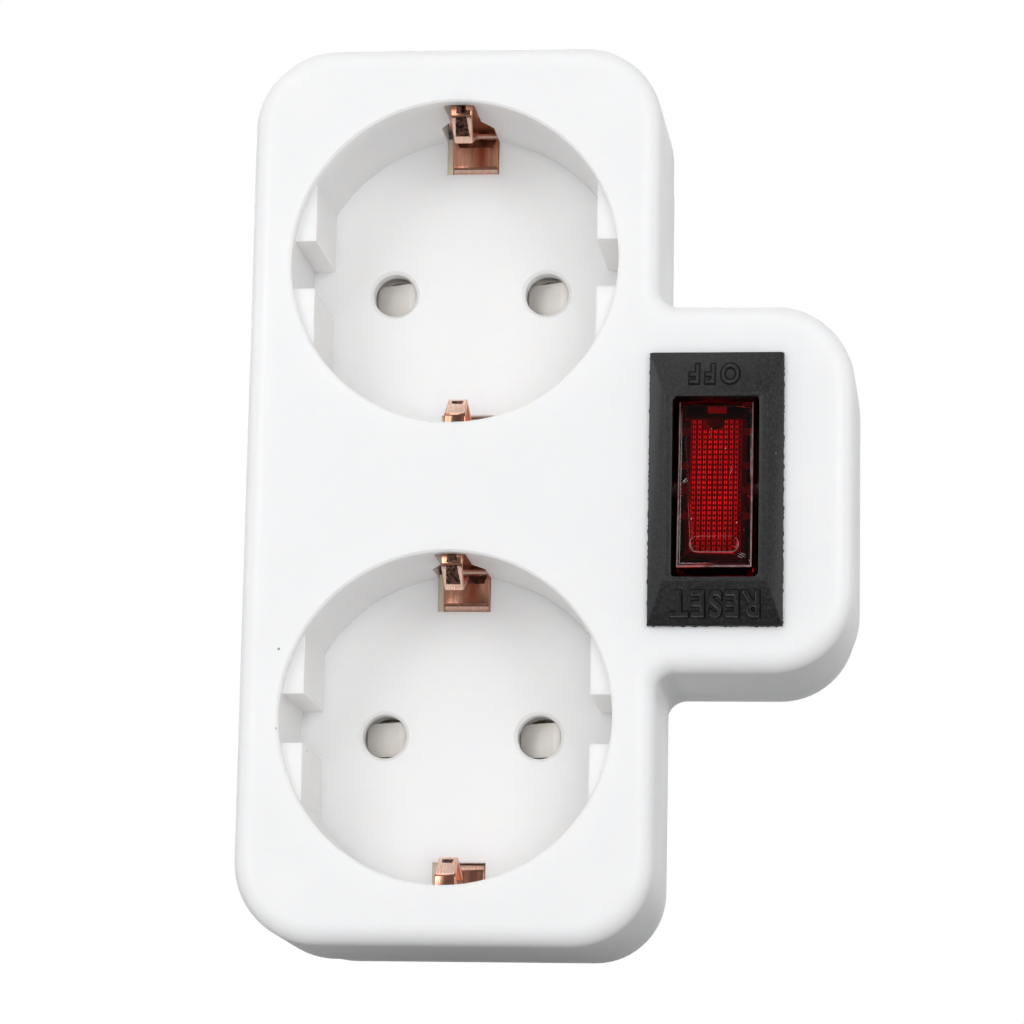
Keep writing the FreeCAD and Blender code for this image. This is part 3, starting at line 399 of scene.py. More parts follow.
def makeCopperFinish(s):
    f = Finish("clipCopper")
    along = f.stretched(s["stretch"])
    low, high = s["streakRange"]
    streaks = f.group("mottle", "Mask", vector=along, Scale=s["streakScale"], Low=low, High=high)
    f.colour(f.mixColour(streaks, s["copper"], s["dull"], s["dullStrength"]))
    f.roughness(f.between(streaks, *s["gloss"]))
    f.bump(f.group("grain", "Height", vector=along, Scale=s["scratchScale"]), s["scratch"])
    f.put(Metallic=1.0)
    return f.material


lensLook = {
    "red": (0.93, 0.012, 0.03), "gloss": 0.03, "density": 1.49,
    "waveScale": 1800.0, "waveRange": (0.62, 0.7), "wave": 0.0006,
}


def makeLensFinish(s):
    f = Finish("redLens")
    f.put(Transmission_Weight=1.0, IOR=s["density"], Roughness=s["gloss"],
          Base_Color=(*s["red"], 1.0))
    low, high = s["waveRange"]
    f.bump(f.group("mottle", "Mask", Scale=s["waveScale"], Low=low, High=high), s["wave"])
    return f.material


# the grid's glow is painted light: it emits its own colour though it is no lamp, and it dims to a darker
# red away from its middle as painted falloff
gridLook = {
    "bright": (1.0, 0.09, 0.15), "deep": (0.55, 0.03, 0.05), "dim": (0.22, 0.003, 0.01),
    "patchScale": 420.0, "patchRange": (0.35, 0.7), "patchStrength": 0.7,
    "glow": 0.6, "middle": (31.6, 1.0), "reach": (4.3, 11.5), "fade": (0.35, 1.05),
    "gloss": 0.35, "grain": 0.01, "grainScale": 6000.0,
}


def makeGridFinish(s):
    f = Finish("lensGridPlastic")
    low, high = s["patchRange"]
    patches = f.group("mottle", "Mask", Scale=s["patchScale"], Low=low, High=high)
    tone = f.mixColour(patches, s["bright"], s["deep"], s["patchStrength"])
    shift = f.tree.nodes.new("ShaderNodeMapping")
    shift.vector_type = "POINT"
    scaleX, scaleZ = (1 / (reach * mm) for reach in s["reach"])
    shift.inputs["Scale"].default_value = (scaleX, 0, scaleZ)
    shift.inputs["Location"].default_value = (
        -s["middle"][0] * mm * scaleX, 0, -s["middle"][1] * mm * scaleZ)
    f.tree.links.new(f.coords, shift.inputs["Vector"])
    away = f.tree.nodes.new("ShaderNodeVectorMath")
    away.operation = "LENGTH"
    f.tree.links.new(shift.outputs["Vector"], away.inputs[0])
    # painted falloff of the glow: darker red away from the grid's middle
    fade = f.tree.nodes.new("ShaderNodeMapRange")
    fade.inputs["From Min"].default_value = s["fade"][0]
    fade.inputs["From Max"].default_value = s["fade"][1]
    f.tree.links.new(away.outputs["Value"], fade.inputs["Value"])
    tone = f.mixColour(fade.outputs["Result"], tone, s["dim"])
    f.colour(tone)
    # painted glow: the grid emits its own colour
    f.tree.links.new(tone, f.shader.inputs["Emission Color"])
    f.put(Emission_Strength=s["glow"], Roughness=s["gloss"])
    f.bump(f.group("grain", "Height", Scale=s["grainScale"]), s["grain"])
    return f.material


plasticLook = {
    "grain": 0.004, "grainScale": 3500.0,
    "speckScale": 700.0, "speckSize": 0.1, "dirt": (0.1, 0.08, 0.06), "dirtStrength": 0.8,
}


def makePlainPlastic(name, light, dark, gloss=(0.3, 0.5), scale=300.0, specks=0.0):
    s = plasticLook
    f = Finish(name)
    mottle = f.group("mottle", "Mask", Scale=scale)
    tone = f.mixColour(mottle, light, dark)
    if specks > 0:
        dots = f.group("specks", "Mask", Scale=s["speckScale"], Share=specks, Size=s["speckSize"])
        tone = f.mixColour(dots, tone, s["dirt"], s["dirtStrength"])
    f.colour(tone)
    f.roughness(f.between(mottle, *gloss))
    f.bump(f.group("grain", "Height", Scale=s["grainScale"]), s["grain"])
    return f.material


metalLook = {"streakScale": 900.0, "scratchScale": 2600.0}


def makeMetal(name, light, dark, gloss=(0.15, 0.35), stretch=(1.0, 0.1, 1.0), scratch=0.004,
              metallic=1.0):
    f = Finish(name)
    along = f.stretched(stretch)
    streaks = f.group("mottle", "Mask", vector=along, Scale=metalLook["streakScale"])
    f.colour(f.mixColour(streaks, light, dark))
    f.roughness(f.between(streaks, *gloss))
    f.bump(f.group("grain", "Height", vector=along, Scale=metalLook["scratchScale"]), scratch)
    f.put(Metallic=metallic)
    return f.material


finishes = {
    "housing": makeHousingFinish(housingLook),
    "bezel": makeBezelFinish(bezelLook),
    "copper": makeCopperFinish(copperLook),
    "lens": makeLensFinish(lensLook),
    "grid": makeGridFinish(gridLook),
    "nickel": makeMetal("pinNickel", (0.72, 0.70, 0.66), (0.60, 0.58, 0.54)),
    "brass": makeMetal("stripBrass", (0.72, 0.52, 0.22), (0.55, 0.38, 0.16)),
    "steel": makeMetal("screwSteel", (0.55, 0.55, 0.56), (0.40, 0.40, 0.41)),
    "tin": makeMetal("bladeTin", (0.70, 0.70, 0.72), (0.56, 0.56, 0.58)),
    "cream": makePlainPlastic("shutterCream", (0.93, 0.90, 0.86), (0.88, 0.84, 0.79), specks=0.05),
    "pale": makePlainPlastic("plungerPale", (0.80, 0.80, 0.76), (0.74, 0.74, 0.70)),
    "tan": makePlainPlastic("resistorTan", (0.62, 0.48, 0.30), (0.52, 0.40, 0.25)),
    "brown": makePlainPlastic("wireBrown", (0.20, 0.09, 0.04), (0.16, 0.07, 0.03)),
    "blue": makePlainPlastic("wireBlue", (0.04, 0.13, 0.45), (0.03, 0.10, 0.36)),
    "dark": makePlainPlastic("carrierDark", (0.03, 0.008, 0.009), (0.02, 0.005, 0.006)),
    "dimRed": makePlainPlastic("ribRed", (0.065, 0.002, 0.005), (0.045, 0.002, 0.004)),
    # lighter red for the cap's edge faces: painted highlight
    "lensEdge": makePlainPlastic("lensEdge", (0.30, 0.17, 0.17), (0.12, 0.05, 0.05),
                                 (0.08, 0.2), 900.0),
    # light finish for the cap's dust flakes and strokes, and for its painted highlight glints
    "dust": makePlainPlastic("capDust", (0.75, 0.68, 0.66), (0.5, 0.42, 0.40)),
    "tabRed": makePlainPlastic("tabRed", (0.30, 0.008, 0.015), (0.24, 0.006, 0.012)),
    "plate": makePlainPlastic("gridPlateRed", (0.20, 0.004, 0.012), (0.12, 0.003, 0.008)),
    # near-black: painted shade in the grid's pits and dots and in the grooves round the raised letters
    "groove": makePlainPlastic("grooveBlack", (0.002, 0.002, 0.002), (0.001, 0.001, 0.001),
                               (0.8, 0.95)),
    # near-white copper for the clips' faces turned like the ramp: painted highlight
    "polished": makeMetal("clipPolished", (0.99, 0.76, 0.64), (0.93, 0.58, 0.44),
                          (0.12, 0.3), (6.0, 0.6, 0.6), metallic=0.45),
    # near-black mottled copper on the clips' ramps and crowns: painted dark reflection, laid over rough
    # bumps
    "tarnish": makeMetal("clipTarnish", (0.26, 0.13, 0.10), (0.006, 0.003, 0.003),
                         (0.25, 0.6), (2.5, 2.5, 2.5), 0.02),
    # dark copper for the clips' feet below the nose: painted shade
    "smudge": makeMetal("clipSmudge", (0.30, 0.13, 0.085), (0.03, 0.012, 0.01),
                        (0.3, 0.6), (0.6, 0.6, 0.6), 0.01),
    "shine": makePlainPlastic("wordShine", (0.085, 0.085, 0.09), (0.035, 0.035, 0.037),
                              (0.25, 0.4), 900.0),
    # olive-tan for the ledge beside each clip: painted shade, tinted as by light bounced off the copper
    "ledge": makePlainPlastic("pocketLedge", (0.80, 0.75, 0.58), (0.70, 0.65, 0.50)),
}


glassLook = {"tint": (1.0, 0.9, 0.75), "gloss": 0.05, "density": 1.5, "wave": 0.004, "waveScale": 600.0}


def makeLampGlass(s):
    f = Finish("lampGlass")
    f.put(Transmission_Weight=1.0, IOR=s["density"], Roughness=s["gloss"],
          Base_Color=(*s["tint"], 1.0))
    f.bump(f.group("mottle", "Mask", Scale=s["waveScale"]), s["wave"])
    return f.material


finishes["glass"] = makeLampGlass(glassLook)
print("finishes made:", len(finishes))


def setFinish(piece, key):
    piece.data.materials.clear()
    piece.data.materials.append(finishes[key])


nodeFinish = {
    "front_housing": "housing", "rear_cover": "housing",
    "plug_pin_line": "nickel", "plug_pin_neutral": "nickel",
    "plug_earth_strap": "copper", "earth_rail": "brass",
    "line_link": "brass", "neutral_link": "brass", "line_bar": "brass", "neutral_bar": "brass",
    "switch_base": "bezel", "switch_blade_line_in": "tin", "switch_blade_line_out": "tin",
    "switch_blade_lamp": "tin", "glow_lamp": "glass", "lamp_resistor": "tan",
    "rocker_carrier": "dark", "rocker_plunger": "pale", "plunger_spring": "steel",
    "tilting_contact": "copper", "wire_line_in": "brown", "wire_line_out": "brown",
    "wire_lamp": "blue", "switch_body": "bezel", "rocker_lens": "lens",
    "rocker_diffuser": "grid", "housing_screws": "steel",
}
for name, node in nodes.items():
    key = nodeFinish.get(name)
    if name.startswith("earth_clip"):
        key = "copper"
    elif "_grip_" in name:
        key = "brass"
    elif name.startswith("shutter_spring"):
        key = "steel"
    elif name.startswith("shutter"):
        key = "cream"
    setFinish(node, key)
print("CAD nodes finished:", len(nodes))


# bezel of the switch, with softened edges

bezelShape = {
    "soften": 0.1, "softenSteps": 2, "softenAngle": 12, "smoothAngle": 40,
    "openHalfX": 5.15, "openHalfZ": 10.85, "cornerRound": 0.45,
    "outHalfX": 7.975, "outHalfZ": 16.45, "outRound": 0.3,
    "roundSteps": 4, "nearCorner": 0.02, "shortestEdge": 0.3,
}


def selectEdges(piece, test):
    takeUp(piece)
    bpy.ops.object.mode_set(mode="EDIT")
    bpy.ops.mesh.select_all(action="DESELECT")
    bpy.ops.mesh.select_mode(type="EDGE")
    bpy.ops.object.mode_set(mode="OBJECT")
    verts = piece.data.vertices
    for e in piece.data.edges:
        a, b = (verts[i].co / mm for i in e.vertices)
        e.select = bool(test(a, b))
    bpy.ops.object.mode_set(mode="EDIT")


def makeBezel(s):
    piece = copyOfNode("switch_body", "bezelShell")
    midX, midZ = switchPlace["middleX"], switchPlace["middleZ"]

    for halfX, halfZ, roundness in ((s["openHalfX"], s["openHalfZ"], s["cornerRound"]),
                                    (s["outHalfX"], s["outHalfZ"], s["outRound"])):
        def atCorner(a, b):
            for v in (a, b):
                offX = abs(abs(v.x - midX) - halfX)
                offZ = abs(abs(v.z - midZ) - halfZ)
                if max(offX, offZ) > s["nearCorner"]:
                    return False
            return abs(a.y - b.y) > s["shortestEdge"]

        selectEdges(piece, atCorner)
        bpy.ops.mesh.bevel(offset=roundness * mm, segments=s["roundSteps"], affect="EDGES")
        bpy.ops.object.mode_set(mode="OBJECT")
    softenEdges(piece, s["soften"], s["softenSteps"], s["softenAngle"])
    smoothByAngle(piece, s["smoothAngle"])
    setFinish(piece, "bezel")
    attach(piece, "housing")
    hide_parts("switch_body")


makeBezel(bezelShape)
print("bezel softened")


# ragged moulding flash where the bezel meets the housing

flashShape = {
    "width": 15.95, "height": 32.9, "step": 0.25, "inside": 0.35, "reach": 0.13,
    "raggedness": 2.5, "thick": 0.16, "sink": 0.02, "onEdge": 0.01, "seed": 7,
}


def makeFlash(s):
    dice = random.Random(s["seed"])
    halfX, halfZ = s["width"] / 2, s["height"] / 2
    deselectAll()
    bpy.ops.mesh.primitive_plane_add(size=1.0, rotation=(math.pi / 2, 0, 0))
    piece = bpy.context.active_object
    piece.name = "bezelFlash"
    settle(piece)
    for v in piece.data.vertices:
        v.co = Vector((math.copysign(halfX, v.co.x), 0, math.copysign(halfZ, v.co.z)))
    bpy.ops.object.mode_set(mode="EDIT")
    bpy.ops.mesh.select_all(action="SELECT")
    bpy.ops.mesh.inset(thickness=s["inside"], depth=0)
    bpy.ops.mesh.delete(type="FACE")
    bpy.ops.mesh.select_all(action="SELECT")
    bpy.ops.object.mode_set(mode="OBJECT")
    for axis, half in ((0, halfX), (2, halfZ)):
        at = -half + s["step"]
        while at < half - s["step"] / 2:
            bpy.ops.object.mode_set(mode="EDIT")
            bpy.ops.mesh.select_all(action="SELECT")
            place, facing = [0, 0, 0], [0, 0, 0]
            place[axis], facing[axis] = at, 1
            bpy.ops.mesh.bisect(plane_co=place, plane_no=facing)
            bpy.ops.object.mode_set(mode="OBJECT")
            at += s["step"]
    for v in piece.data.vertices:
        outX = abs(v.co.x) > halfX - s["onEdge"]
        outZ = abs(v.co.z) > halfZ - s["onEdge"]
        push = s["reach"] * dice.random() ** s["raggedness"]
        if outX:
            v.co.x += math.copysign(push, v.co.x)
        if outZ:
            v.co.z += math.copysign(push, v.co.z)
        v.co += Vector((switchPlace["middleX"], switchPlace["faceY"] - s["sink"],
                        switchPlace["middleZ"]))
        v.co *= mm
    addThickness(piece, s["thick"], 1.0)
    setFinish(piece, "bezel")
    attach(piece, "housing")


makeFlash(flashShape)
print("flash trimmed")


# raised words on the two end slopes of the bezel, each with a near-black outline as painted shade in the
# groove round its letters

wordLook = {
    "upper": {"text": "OFF", "width": 5.85, "height": 2.6, "middleX": 31.6, "middleZ": 13.2,
              "rise": 0.16, "groove": 0.07, "rolled": 0.05, "spacing": 1.4},
    "lower": {"text": "RESET", "width": 10.45, "height": 3.1, "middleX": 31.9, "middleZ": -14.4,
              "rise": 0.42, "groove": 0.05, "rolled": 0.1, "spacing": 1.2,
              "shine": (-0.07, -0.13)},
    "slope": 15.35, "ridgeZ": 11.35, "ridgeY": -58.5, "sink": 0.06, "bold": 0.012,
    "halfThick": 0.1, "shineDrop": 0.06, "grooveRise": 0.012, "rollSteps": 3, "rollAngle": 50,
    "merge": 0.005, "flat": 0.5,
}


def shapeWord(s, name, spread):
    deselectAll()
    bpy.ops.object.text_add(location=(0, 0, 0))
    word = bpy.context.active_object
    word.data.body = s["text"]
    word.data.size = 1.0
    word.data.align_x = "CENTER"
    word.data.align_y = "CENTER"
    word.data.offset = spread
    word.data.space_character = s["spacing"]
    word.data.extrude = wordLook["halfThick"]
    word.data.resolution_u = 6
    bpy.ops.object.convert(target="MESH")
    word = bpy.context.active_object
    word.name = name
    return word


def placeWord(word, s, side, rise, plain):
    low = -wordLook["sink"]
    xs = [v.co.x for v in plain.data.vertices]
    ys = [v.co.y for v in plain.data.vertices]
    zs = [v.co.z for v in word.data.vertices]
    middle = Vector(((min(xs) + max(xs)) / 2, (min(ys) + max(ys)) / 2, 0))
    wide = s["width"] / (max(xs) - min(xs))
    tall = s["height"] / (max(ys) - min(ys))
    slope = math.radians(wordLook["slope"])
    for v in word.data.vertices:
        across = (v.co.x - middle.x) * wide
        up = (v.co.y - middle.y) * tall
        out = low + (rise - low) * (v.co.z - min(zs)) / (max(zs) - min(zs))
        x = s["middleX"] - across
        z = s["middleZ"] - up * math.cos(slope)
        run = side * (z - switchPlace["middleZ"]) - wordLook["ridgeZ"]
        y = wordLook["ridgeY"] + run * math.tan(slope)
        v.co = Vector((x, y - out, z)) * mm
    takeUp(word)
    bpy.ops.object.mode_set(mode="EDIT")
    bpy.ops.mesh.select_all(action="SELECT")
    bpy.ops.mesh.remove_doubles(threshold=wordLook["merge"] * mm)
    bpy.ops.mesh.dissolve_limited(angle_limit=math.radians(wordLook["flat"]))
    bpy.ops.mesh.normals_make_consistent(inside=False)
    bpy.ops.object.mode_set(mode="OBJECT")


def makeWords(look):
    for key, side in (("upper", 1), ("lower", -1)):
        s = look[key]
        plain = shapeWord(s, "plainWord", look["bold"])
        word = shapeWord(s, key + "Word", look["bold"])
        placeWord(word, s, side, s["rise"], plain)
        softenEdges(word, s["rolled"], look["rollSteps"], look["rollAngle"])
        setFinish(word, "bezel")
        if "shine" in s:
            shine = shapeWord(s, key + "WordShine", look["bold"])
            shiftX, shiftZ = s["shine"]
            moved = dict(s, middleX=s["middleX"] + shiftX, middleZ=s["middleZ"] + shiftZ)
            placeWord(shine, moved, side, s["rise"] - look["shineDrop"], plain)
            setFinish(shine, "shine")
            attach(shine, "housing")
        # near-black outline round the letters: painted shade in their groove
        edge = shapeWord(s, key + "WordGroove", look["bold"] + s["groove"])
        placeWord(edge, s, side, look["grooveRise"], plain)
        setFinish(edge, "groove")
        bpy.data.objects.remove(plain, do_unlink=True)
        for piece in (word, edge):
            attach(piece, "housing")


makeWords(wordLook)
print("words raised on the bezel")


# lens grid, drawn level and then leaned with the rocker

gridShape = {
    "pitch": 0.63, "columns": 9, "rows": 26, "middleX": 31.75, "topZ": 7.75, "plateFront": -57.42,
    "barTop": -57.58, "barWidth": 0.12, "barHeight": 0.37, "barGap": 0.1, "barRoot": 0.05,
    "barTaper": (0.75, 1.0, 0.85),
    "pitWidth": 0.23, "pitHeight": 0.43, "dotWidth": 0.15, "dotHeight": 0.13,
    "pitDepth": 0.3, "pitSink": 0.11, "pitSides": 10,
    "notchX": 31.7, "notchHalf": 1.3, "notchLow": 6.35,
    "tab": {"low": (30.77, -57.5, 8.47), "high": (33.04, -57.3, 9.36)}, "tabSoften": 0.06,
    "ribHeights": (6.1, 1.9, -1.2, -4.4), "ribTall": 0.85, "ribInner": 2.95, "ribOuter": 4.45,
    "ribFront": -57.9, "ribBack": -57.3, "ribSoften": 0.08,
}


def repeatCell(cell, s):
    places = []
    left = s["middleX"] - (s["columns"] - 1) / 2 * s["pitch"]
    for row in range(s["rows"]):
        for column in range(s["columns"]):
            x = left + column * s["pitch"]
            z = s["topZ"] - (row + 0.5) * s["pitch"]
            if abs(x - s["notchX"]) < s["notchHalf"] and z > s["notchLow"]:
                continue
            places.append((x, z))
    copies = []
    for x, z in places:
        twin = bpy.data.objects.new(cell.name, cell.data.copy())
        bpy.context.scene.collection.objects.link(twin)
        twin.data.transform(Matrix.Translation(Vector((x, 0, z)) * mm))
        copies.append(twin)
    name = cell.name
    bpy.data.objects.remove(cell, do_unlink=True)
    return joinPieces(copies, name)


def atFront(piece, depth):
    front = min(v.co.y for v in piece.data.vertices) + depth * mm
    return [v for v in piece.data.vertices if v.co.y < front]


def taperFront(piece, share):
    takeUp(piece)
    bpy.ops.object.mode_set(mode="EDIT")
    bpy.ops.mesh.select_all(action="DESELECT")
    bpy.ops.mesh.select_mode(type="VERT")
    bpy.ops.object.mode_set(mode="OBJECT")
    for v in atFront(piece, 0.001):
        v.select = True
    bpy.ops.object.mode_set(mode="EDIT")
    bpy.ops.transform.resize(value=share)
    bpy.ops.object.mode_set(mode="OBJECT")


def makeBars(s):
    bars = []
    for side in (-1, 1):
        middle = side * (s["barGap"] + s["barWidth"]) / 2
        bar = boxPiece("gridBars", (middle - s["barWidth"] / 2, s["barTop"], -s["barHeight"] / 2),
                       (middle + s["barWidth"] / 2, s["plateFront"] + s["barRoot"],
                        s["barHeight"] / 2))
        taperFront(bar, s["barTaper"])
        bars.append(bar)
    piece = repeatCell(joinPieces(bars, "gridBars"), s)
    setFinish(piece, "grid")
    return piece


def makePit(name, wide, tall, x, z, s):
    deselectAll()
    bpy.ops.mesh.primitive_cylinder_add(vertices=s["pitSides"], radius=0.5 * mm,
                                        depth=s["pitDepth"] * mm, rotation=(math.pi / 2, 0, 0))
    pit = bpy.context.active_object
    settle(pit)
    for v in pit.data.vertices:
        v.co.x = v.co.x * wide + x * mm
        v.co.z = v.co.z * tall + z * mm
        v.co.y += (s["plateFront"] + s["pitSink"]) * mm
    pit.name = name
    piece = repeatCell(pit, s)
    setFinish(piece, "groove")
    return piece


# the pits and dots are sunk near-black pieces: painted shade in the grid's pits
def makePits(s):
    half = s["pitch"] / 2
    pits = makePit("gridPits", s["pitWidth"], s["pitHeight"], half, 0, s)
    dots = makePit("gridDots", s["dotWidth"], s["dotHeight"], 0, -half, s)
    return [pits, dots]


def makePlate(s):
    piece = copyOfNode("rocker_diffuser", "gridPlate")
    turnAbout(piece, switchPlace["pivotY"], switchPlace["middleZ"], switchPlace["restAngle"])
    for v in atFront(piece, 0.1):
        v.co.y = s["plateFront"] * mm
    setFinish(piece, "plate")
    return piece


def makeGridExtras(s):
    tab = boxPiece("lensTab", s["tab"]["low"], s["tab"]["high"])
    softenEdges(tab, s["tabSoften"])
    ribs = []
    for z in s["ribHeights"]:
        for side in (-1, 1):
            low, high = sorted((switchPlace["middleX"] + side * s["ribInner"],
                                switchPlace["middleX"] + side * s["ribOuter"]))
            rib = boxPiece("lensRibs", (low, s["ribFront"], z - s["ribTall"] / 2),
                           (high, s["ribBack"], z + s["ribTall"] / 2))
            softenEdges(rib, s["ribSoften"])
            ribs.append(rib)
    allRibs = joinPieces(ribs, "lensRibs")
    setFinish(tab, "tabRed")
    setFinish(allRibs, "dimRed")
    return [tab, allRibs]


def makeGrid(s):
    plate = makePlate(s)
    parts = [plate, makeBars(s)] + makePits(s) + makeGridExtras(s)
    for piece in parts:
        leanWithRocker(piece)
        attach(piece, "rocker")
    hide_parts("rocker_diffuser")


makeGrid(gridShape)
print("lens grid laid")


# clear cap of the rocker, with a painted highlight on its lower and side edge faces

capShape = {
    "lowTurn": 0.55, "highTurn": 0.82,  # how far an edge face turns away from the front
    "facing": 0.3, "edgeDeep": 2.2, "merge": 0.002,
}


def makeCap(s):
    piece = bpy.data.objects.new("lensCap", nodes["rocker_lens"].data.copy())
    bpy.context.scene.collection.objects.link(piece)
    takeUp(piece)
    bpy.ops.object.mode_set(mode="EDIT")
    bpy.ops.mesh.select_all(action="SELECT")
    bpy.ops.mesh.remove_doubles(threshold=s["merge"] * mm)
    bpy.ops.object.mode_set(mode="OBJECT")
    setFinish(piece, "lens")
    # the cap's lower and side edge faces take this lighter finish: painted highlight
    piece.data.materials.append(finishes["lensEdge"])
    lean = math.radians(switchPlace["restAngle"])
    edgeFaces = 0
    for face in piece.data.polygons:
        level = Matrix.Rotation(lean, 3, "X") @ face.normal
        depth = abs(face.center.y / mm - switchPlace["bezelTopY"])
        across = max(abs(level.x), abs(level.z))
        upper = level.z > abs(level.x)
        turned = level.y < -s["facing"] and s["lowTurn"] < across < s["highTurn"]
        if turned and depth < s["edgeDeep"] and not upper:
            face.material_index = 1
            edgeFaces += 1
    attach(piece, "rocker")
    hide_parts("rocker_lens")
    print("bright edge faces on the cap:", edgeFaces)


makeCap(capShape)


# dust on the cap, a few tiny flakes, with strokes and two painted highlight glints in the same light
# finish

dustAndGlintShape = {
    "count": 12, "seed": 11, "size": (0.02, 0.055), "left": 27.6, "right": 36.0,
    "low": -10.2, "high": 9.4, "lowEnd": -7.0, "front": -58.5,
    "stretchX": (0.6, 1.6), "stretchZ": (0.6, 1.8), "flat": 0.25, "lift": 0.01,
    # painted highlight glints and strokes: x and z of both ends, and the width
    "glints": ((29.4, -8.3, 30.1, -8.28, 0.16), (33.8, -8.3, 34.5, -8.32, 0.16)),
    "glintFront": -58.62, "strokeLift": 0.005, "strokeThick": 0.01,
    "strokes": ((27.95, -0.35, 28.5, 0.2, 0.05), (28.1, -0.45, 28.6, -0.1, 0.03),
                (34.7, -9.1, 35.5, -9.6, 0.035), (34.9, -9.0, 35.6, -9.3, 0.03),
                (34.6, -9.4, 35.2, -9.7, 0.03), (33.4, -0.2, 33.9, 2.2, 0.007)),
}


def makeDustAndGlints(s):
    dice = random.Random(s["seed"])
    flakes = []
    for i in range(s["count"]):
        deselectAll()
        bpy.ops.mesh.primitive_ico_sphere_add(subdivisions=1, radius=1.0)
        flake = bpy.context.active_object
        size = dice.uniform(*s["size"])
        x = dice.uniform(s["left"], s["right"])
        z = dice.uniform(s["low"], s["high"] if i % 3 else s["lowEnd"])
        for v in flake.data.vertices:
            v.co = Vector((x + v.co.x * size * dice.uniform(*s["stretchX"]),
                           s["front"] - s["lift"] + v.co.y * size * s["flat"],
                           z + v.co.z * size * dice.uniform(*s["stretchZ"]))) * mm
        flakes.append(flake)
    marks = [(mark, s["front"]) for mark in s["strokes"]]
    # the glints are painted highlights at the two ends of the oval mark
    marks += [(mark, s["glintFront"]) for mark in s["glints"]]
    for (x0, z0, x1, z1, wide), front in marks:
        deselectAll()
        bpy.ops.mesh.primitive_ico_sphere_add(subdivisions=2, radius=1.0)
        stroke = bpy.context.active_object
        along = Vector((x1 - x0, 0, z1 - z0)) / 2
        beside = Vector((along.z, 0, -along.x)).normalized() * wide / 2
        through = Vector((0, s["strokeThick"], 0))
        middle = Vector(((x0 + x1) / 2, front - s["strokeLift"], (z0 + z1) / 2))
        for v in stroke.data.vertices:
            v.co = (middle + along * v.co.x + beside * v.co.z + through * v.co.y) * mm
        flakes.append(stroke)
    dust = joinPieces(flakes, "capDust")
    leanWithRocker(dust)
    setFinish(dust, "dust")
    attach(dust, "rocker")


makeDustAndGlints(dustAndGlintShape)
print("cap finished")


# screws, with a cross recess in each head

screwShape = {
    "crossLong": 2.9, "crossWide": 0.55, "crossDeep": 0.9, "tipLong": 0.45, "tipWide": 0.78,
    "turnStep": 37, "apart": 6, "rim": 0.01,
    "soften": 0.08, "softenSteps": 2, "softenAngle": 40, "smoothAngle": 35,
}


def middleOf(spots):
    return sum(spots, Vector((0, 0))) / len(spots)


def findHeads(piece, s, top):
    heads = []
    for v in piece.data.vertices:
        if v.co.y / mm <= top - s["rim"]:
            continue
        spot = Vector((v.co.x, v.co.z)) / mm
        near = [head for head in heads if (middleOf(head) - spot).length < s["apart"]]
        if near:
            near[0].append(spot)
        else:
            heads.append([spot])
    return [middleOf(head) for head in heads]


def makeCrossBar(s, degrees, place):
    deselectAll()
    bpy.ops.mesh.primitive_cube_add(size=1.0)
    bar = bpy.context.active_object
    for v in bar.data.vertices:
        atTip = v.co.y < 0
        length = s["crossLong"] * (s["tipLong"] if atTip else 1.0)
        width = s["crossWide"] * (s["tipWide"] if atTip else 1.0)
        v.co = Vector((v.co.x * length, v.co.y * 2 * s["crossDeep"], v.co.z * width))
    bar.data.transform(Matrix.Rotation(math.radians(degrees), 4, "Y"))
    bar.data.transform(Matrix.Translation(place))
    bar.data.transform(Matrix.Scale(mm, 4))
    return bar


def makeScrews(s):
    piece = copyOfNode("housing_screws", "coverScrews")
    top = max(v.co.y for v in piece.data.vertices) / mm
    heads = findHeads(piece, s, top)
    for i, head in enumerate(heads):
        for quarter in range(2):
            bar = makeCrossBar(s, 90 * quarter + s["turnStep"] * i, Vector((head.x, top, head.y)))
            cut = piece.modifiers.new("cross", "BOOLEAN")
            cut.operation = "DIFFERENCE"
            cut.solver = "EXACT"
            cut.object = bar
            applyModifiers(piece)
            bpy.data.objects.remove(bar, do_unlink=True)
    softenEdges(piece, s["soften"], s["softenSteps"], s["softenAngle"])
    smoothByAngle(piece, s["smoothAngle"])
    setFinish(piece, "steel")
    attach(piece, "housing")
    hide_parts("housing_screws")
    print("screw heads crossed:", len(heads))


makeScrews(screwShape)


# earth clips, with rolled edges that catch the light, a painted highlight on the ramp faces, painted
# dark reflection on ramp and crown, painted shade on the foot, and a ledge of painted shade in each
# pocket

clipShape = {
    "soften": 0.2, "softenSteps": 3, "softenAngle": 50, "smoothAngle": 35, "brightFacing": 0.9,
    # patches run from one share of the clip's face to another, and are this wide at both ends
    "longPatch": {"from": -0.24, "to": 0.82, "narrow": 1.3, "wide": 1.75, "rows": 34, "columns": 14},
    "crownPatch": {"from": 0.12, "to": 1.4, "narrow": 1.05, "wide": 1.3, "rows": 14, "columns": 14},
    "shortPatch": {"from": 0.66, "to": 0.93, "narrow": 1.2, "wide": 1.35, "rows": 10, "columns": 14},
    "footPatch": {"from": 0.0, "to": 0.3, "narrow": 5.0, "wide": 4.2, "rows": 8, "columns": 40},
    "knurl": 0.03, "patchThick": 0.03, "loose": 0.05, "looseAlong": 0.3, "rimRise": 0.002,
    "rim": 0.001, "seed": 5,
    "wells": {"Upper": 27.7, "Lower": -27.7},
    "ledge": {"x": (-3.55, -2.62), "y": (-38.3, -37.4), "z": (10.9, 20.2), "soften": 0.1},
}
# where the faces of a clip lie and which way they look
clipFaces = {
    "rampFront": -50, "rampLookY": -0.5, "rampLookZ": 0.7, "sameWay": 0.999,
    "flatLookY": -0.98, "flatArea": 1e-6, "foot": (-39, -38), "crown": (-55, -54),
}


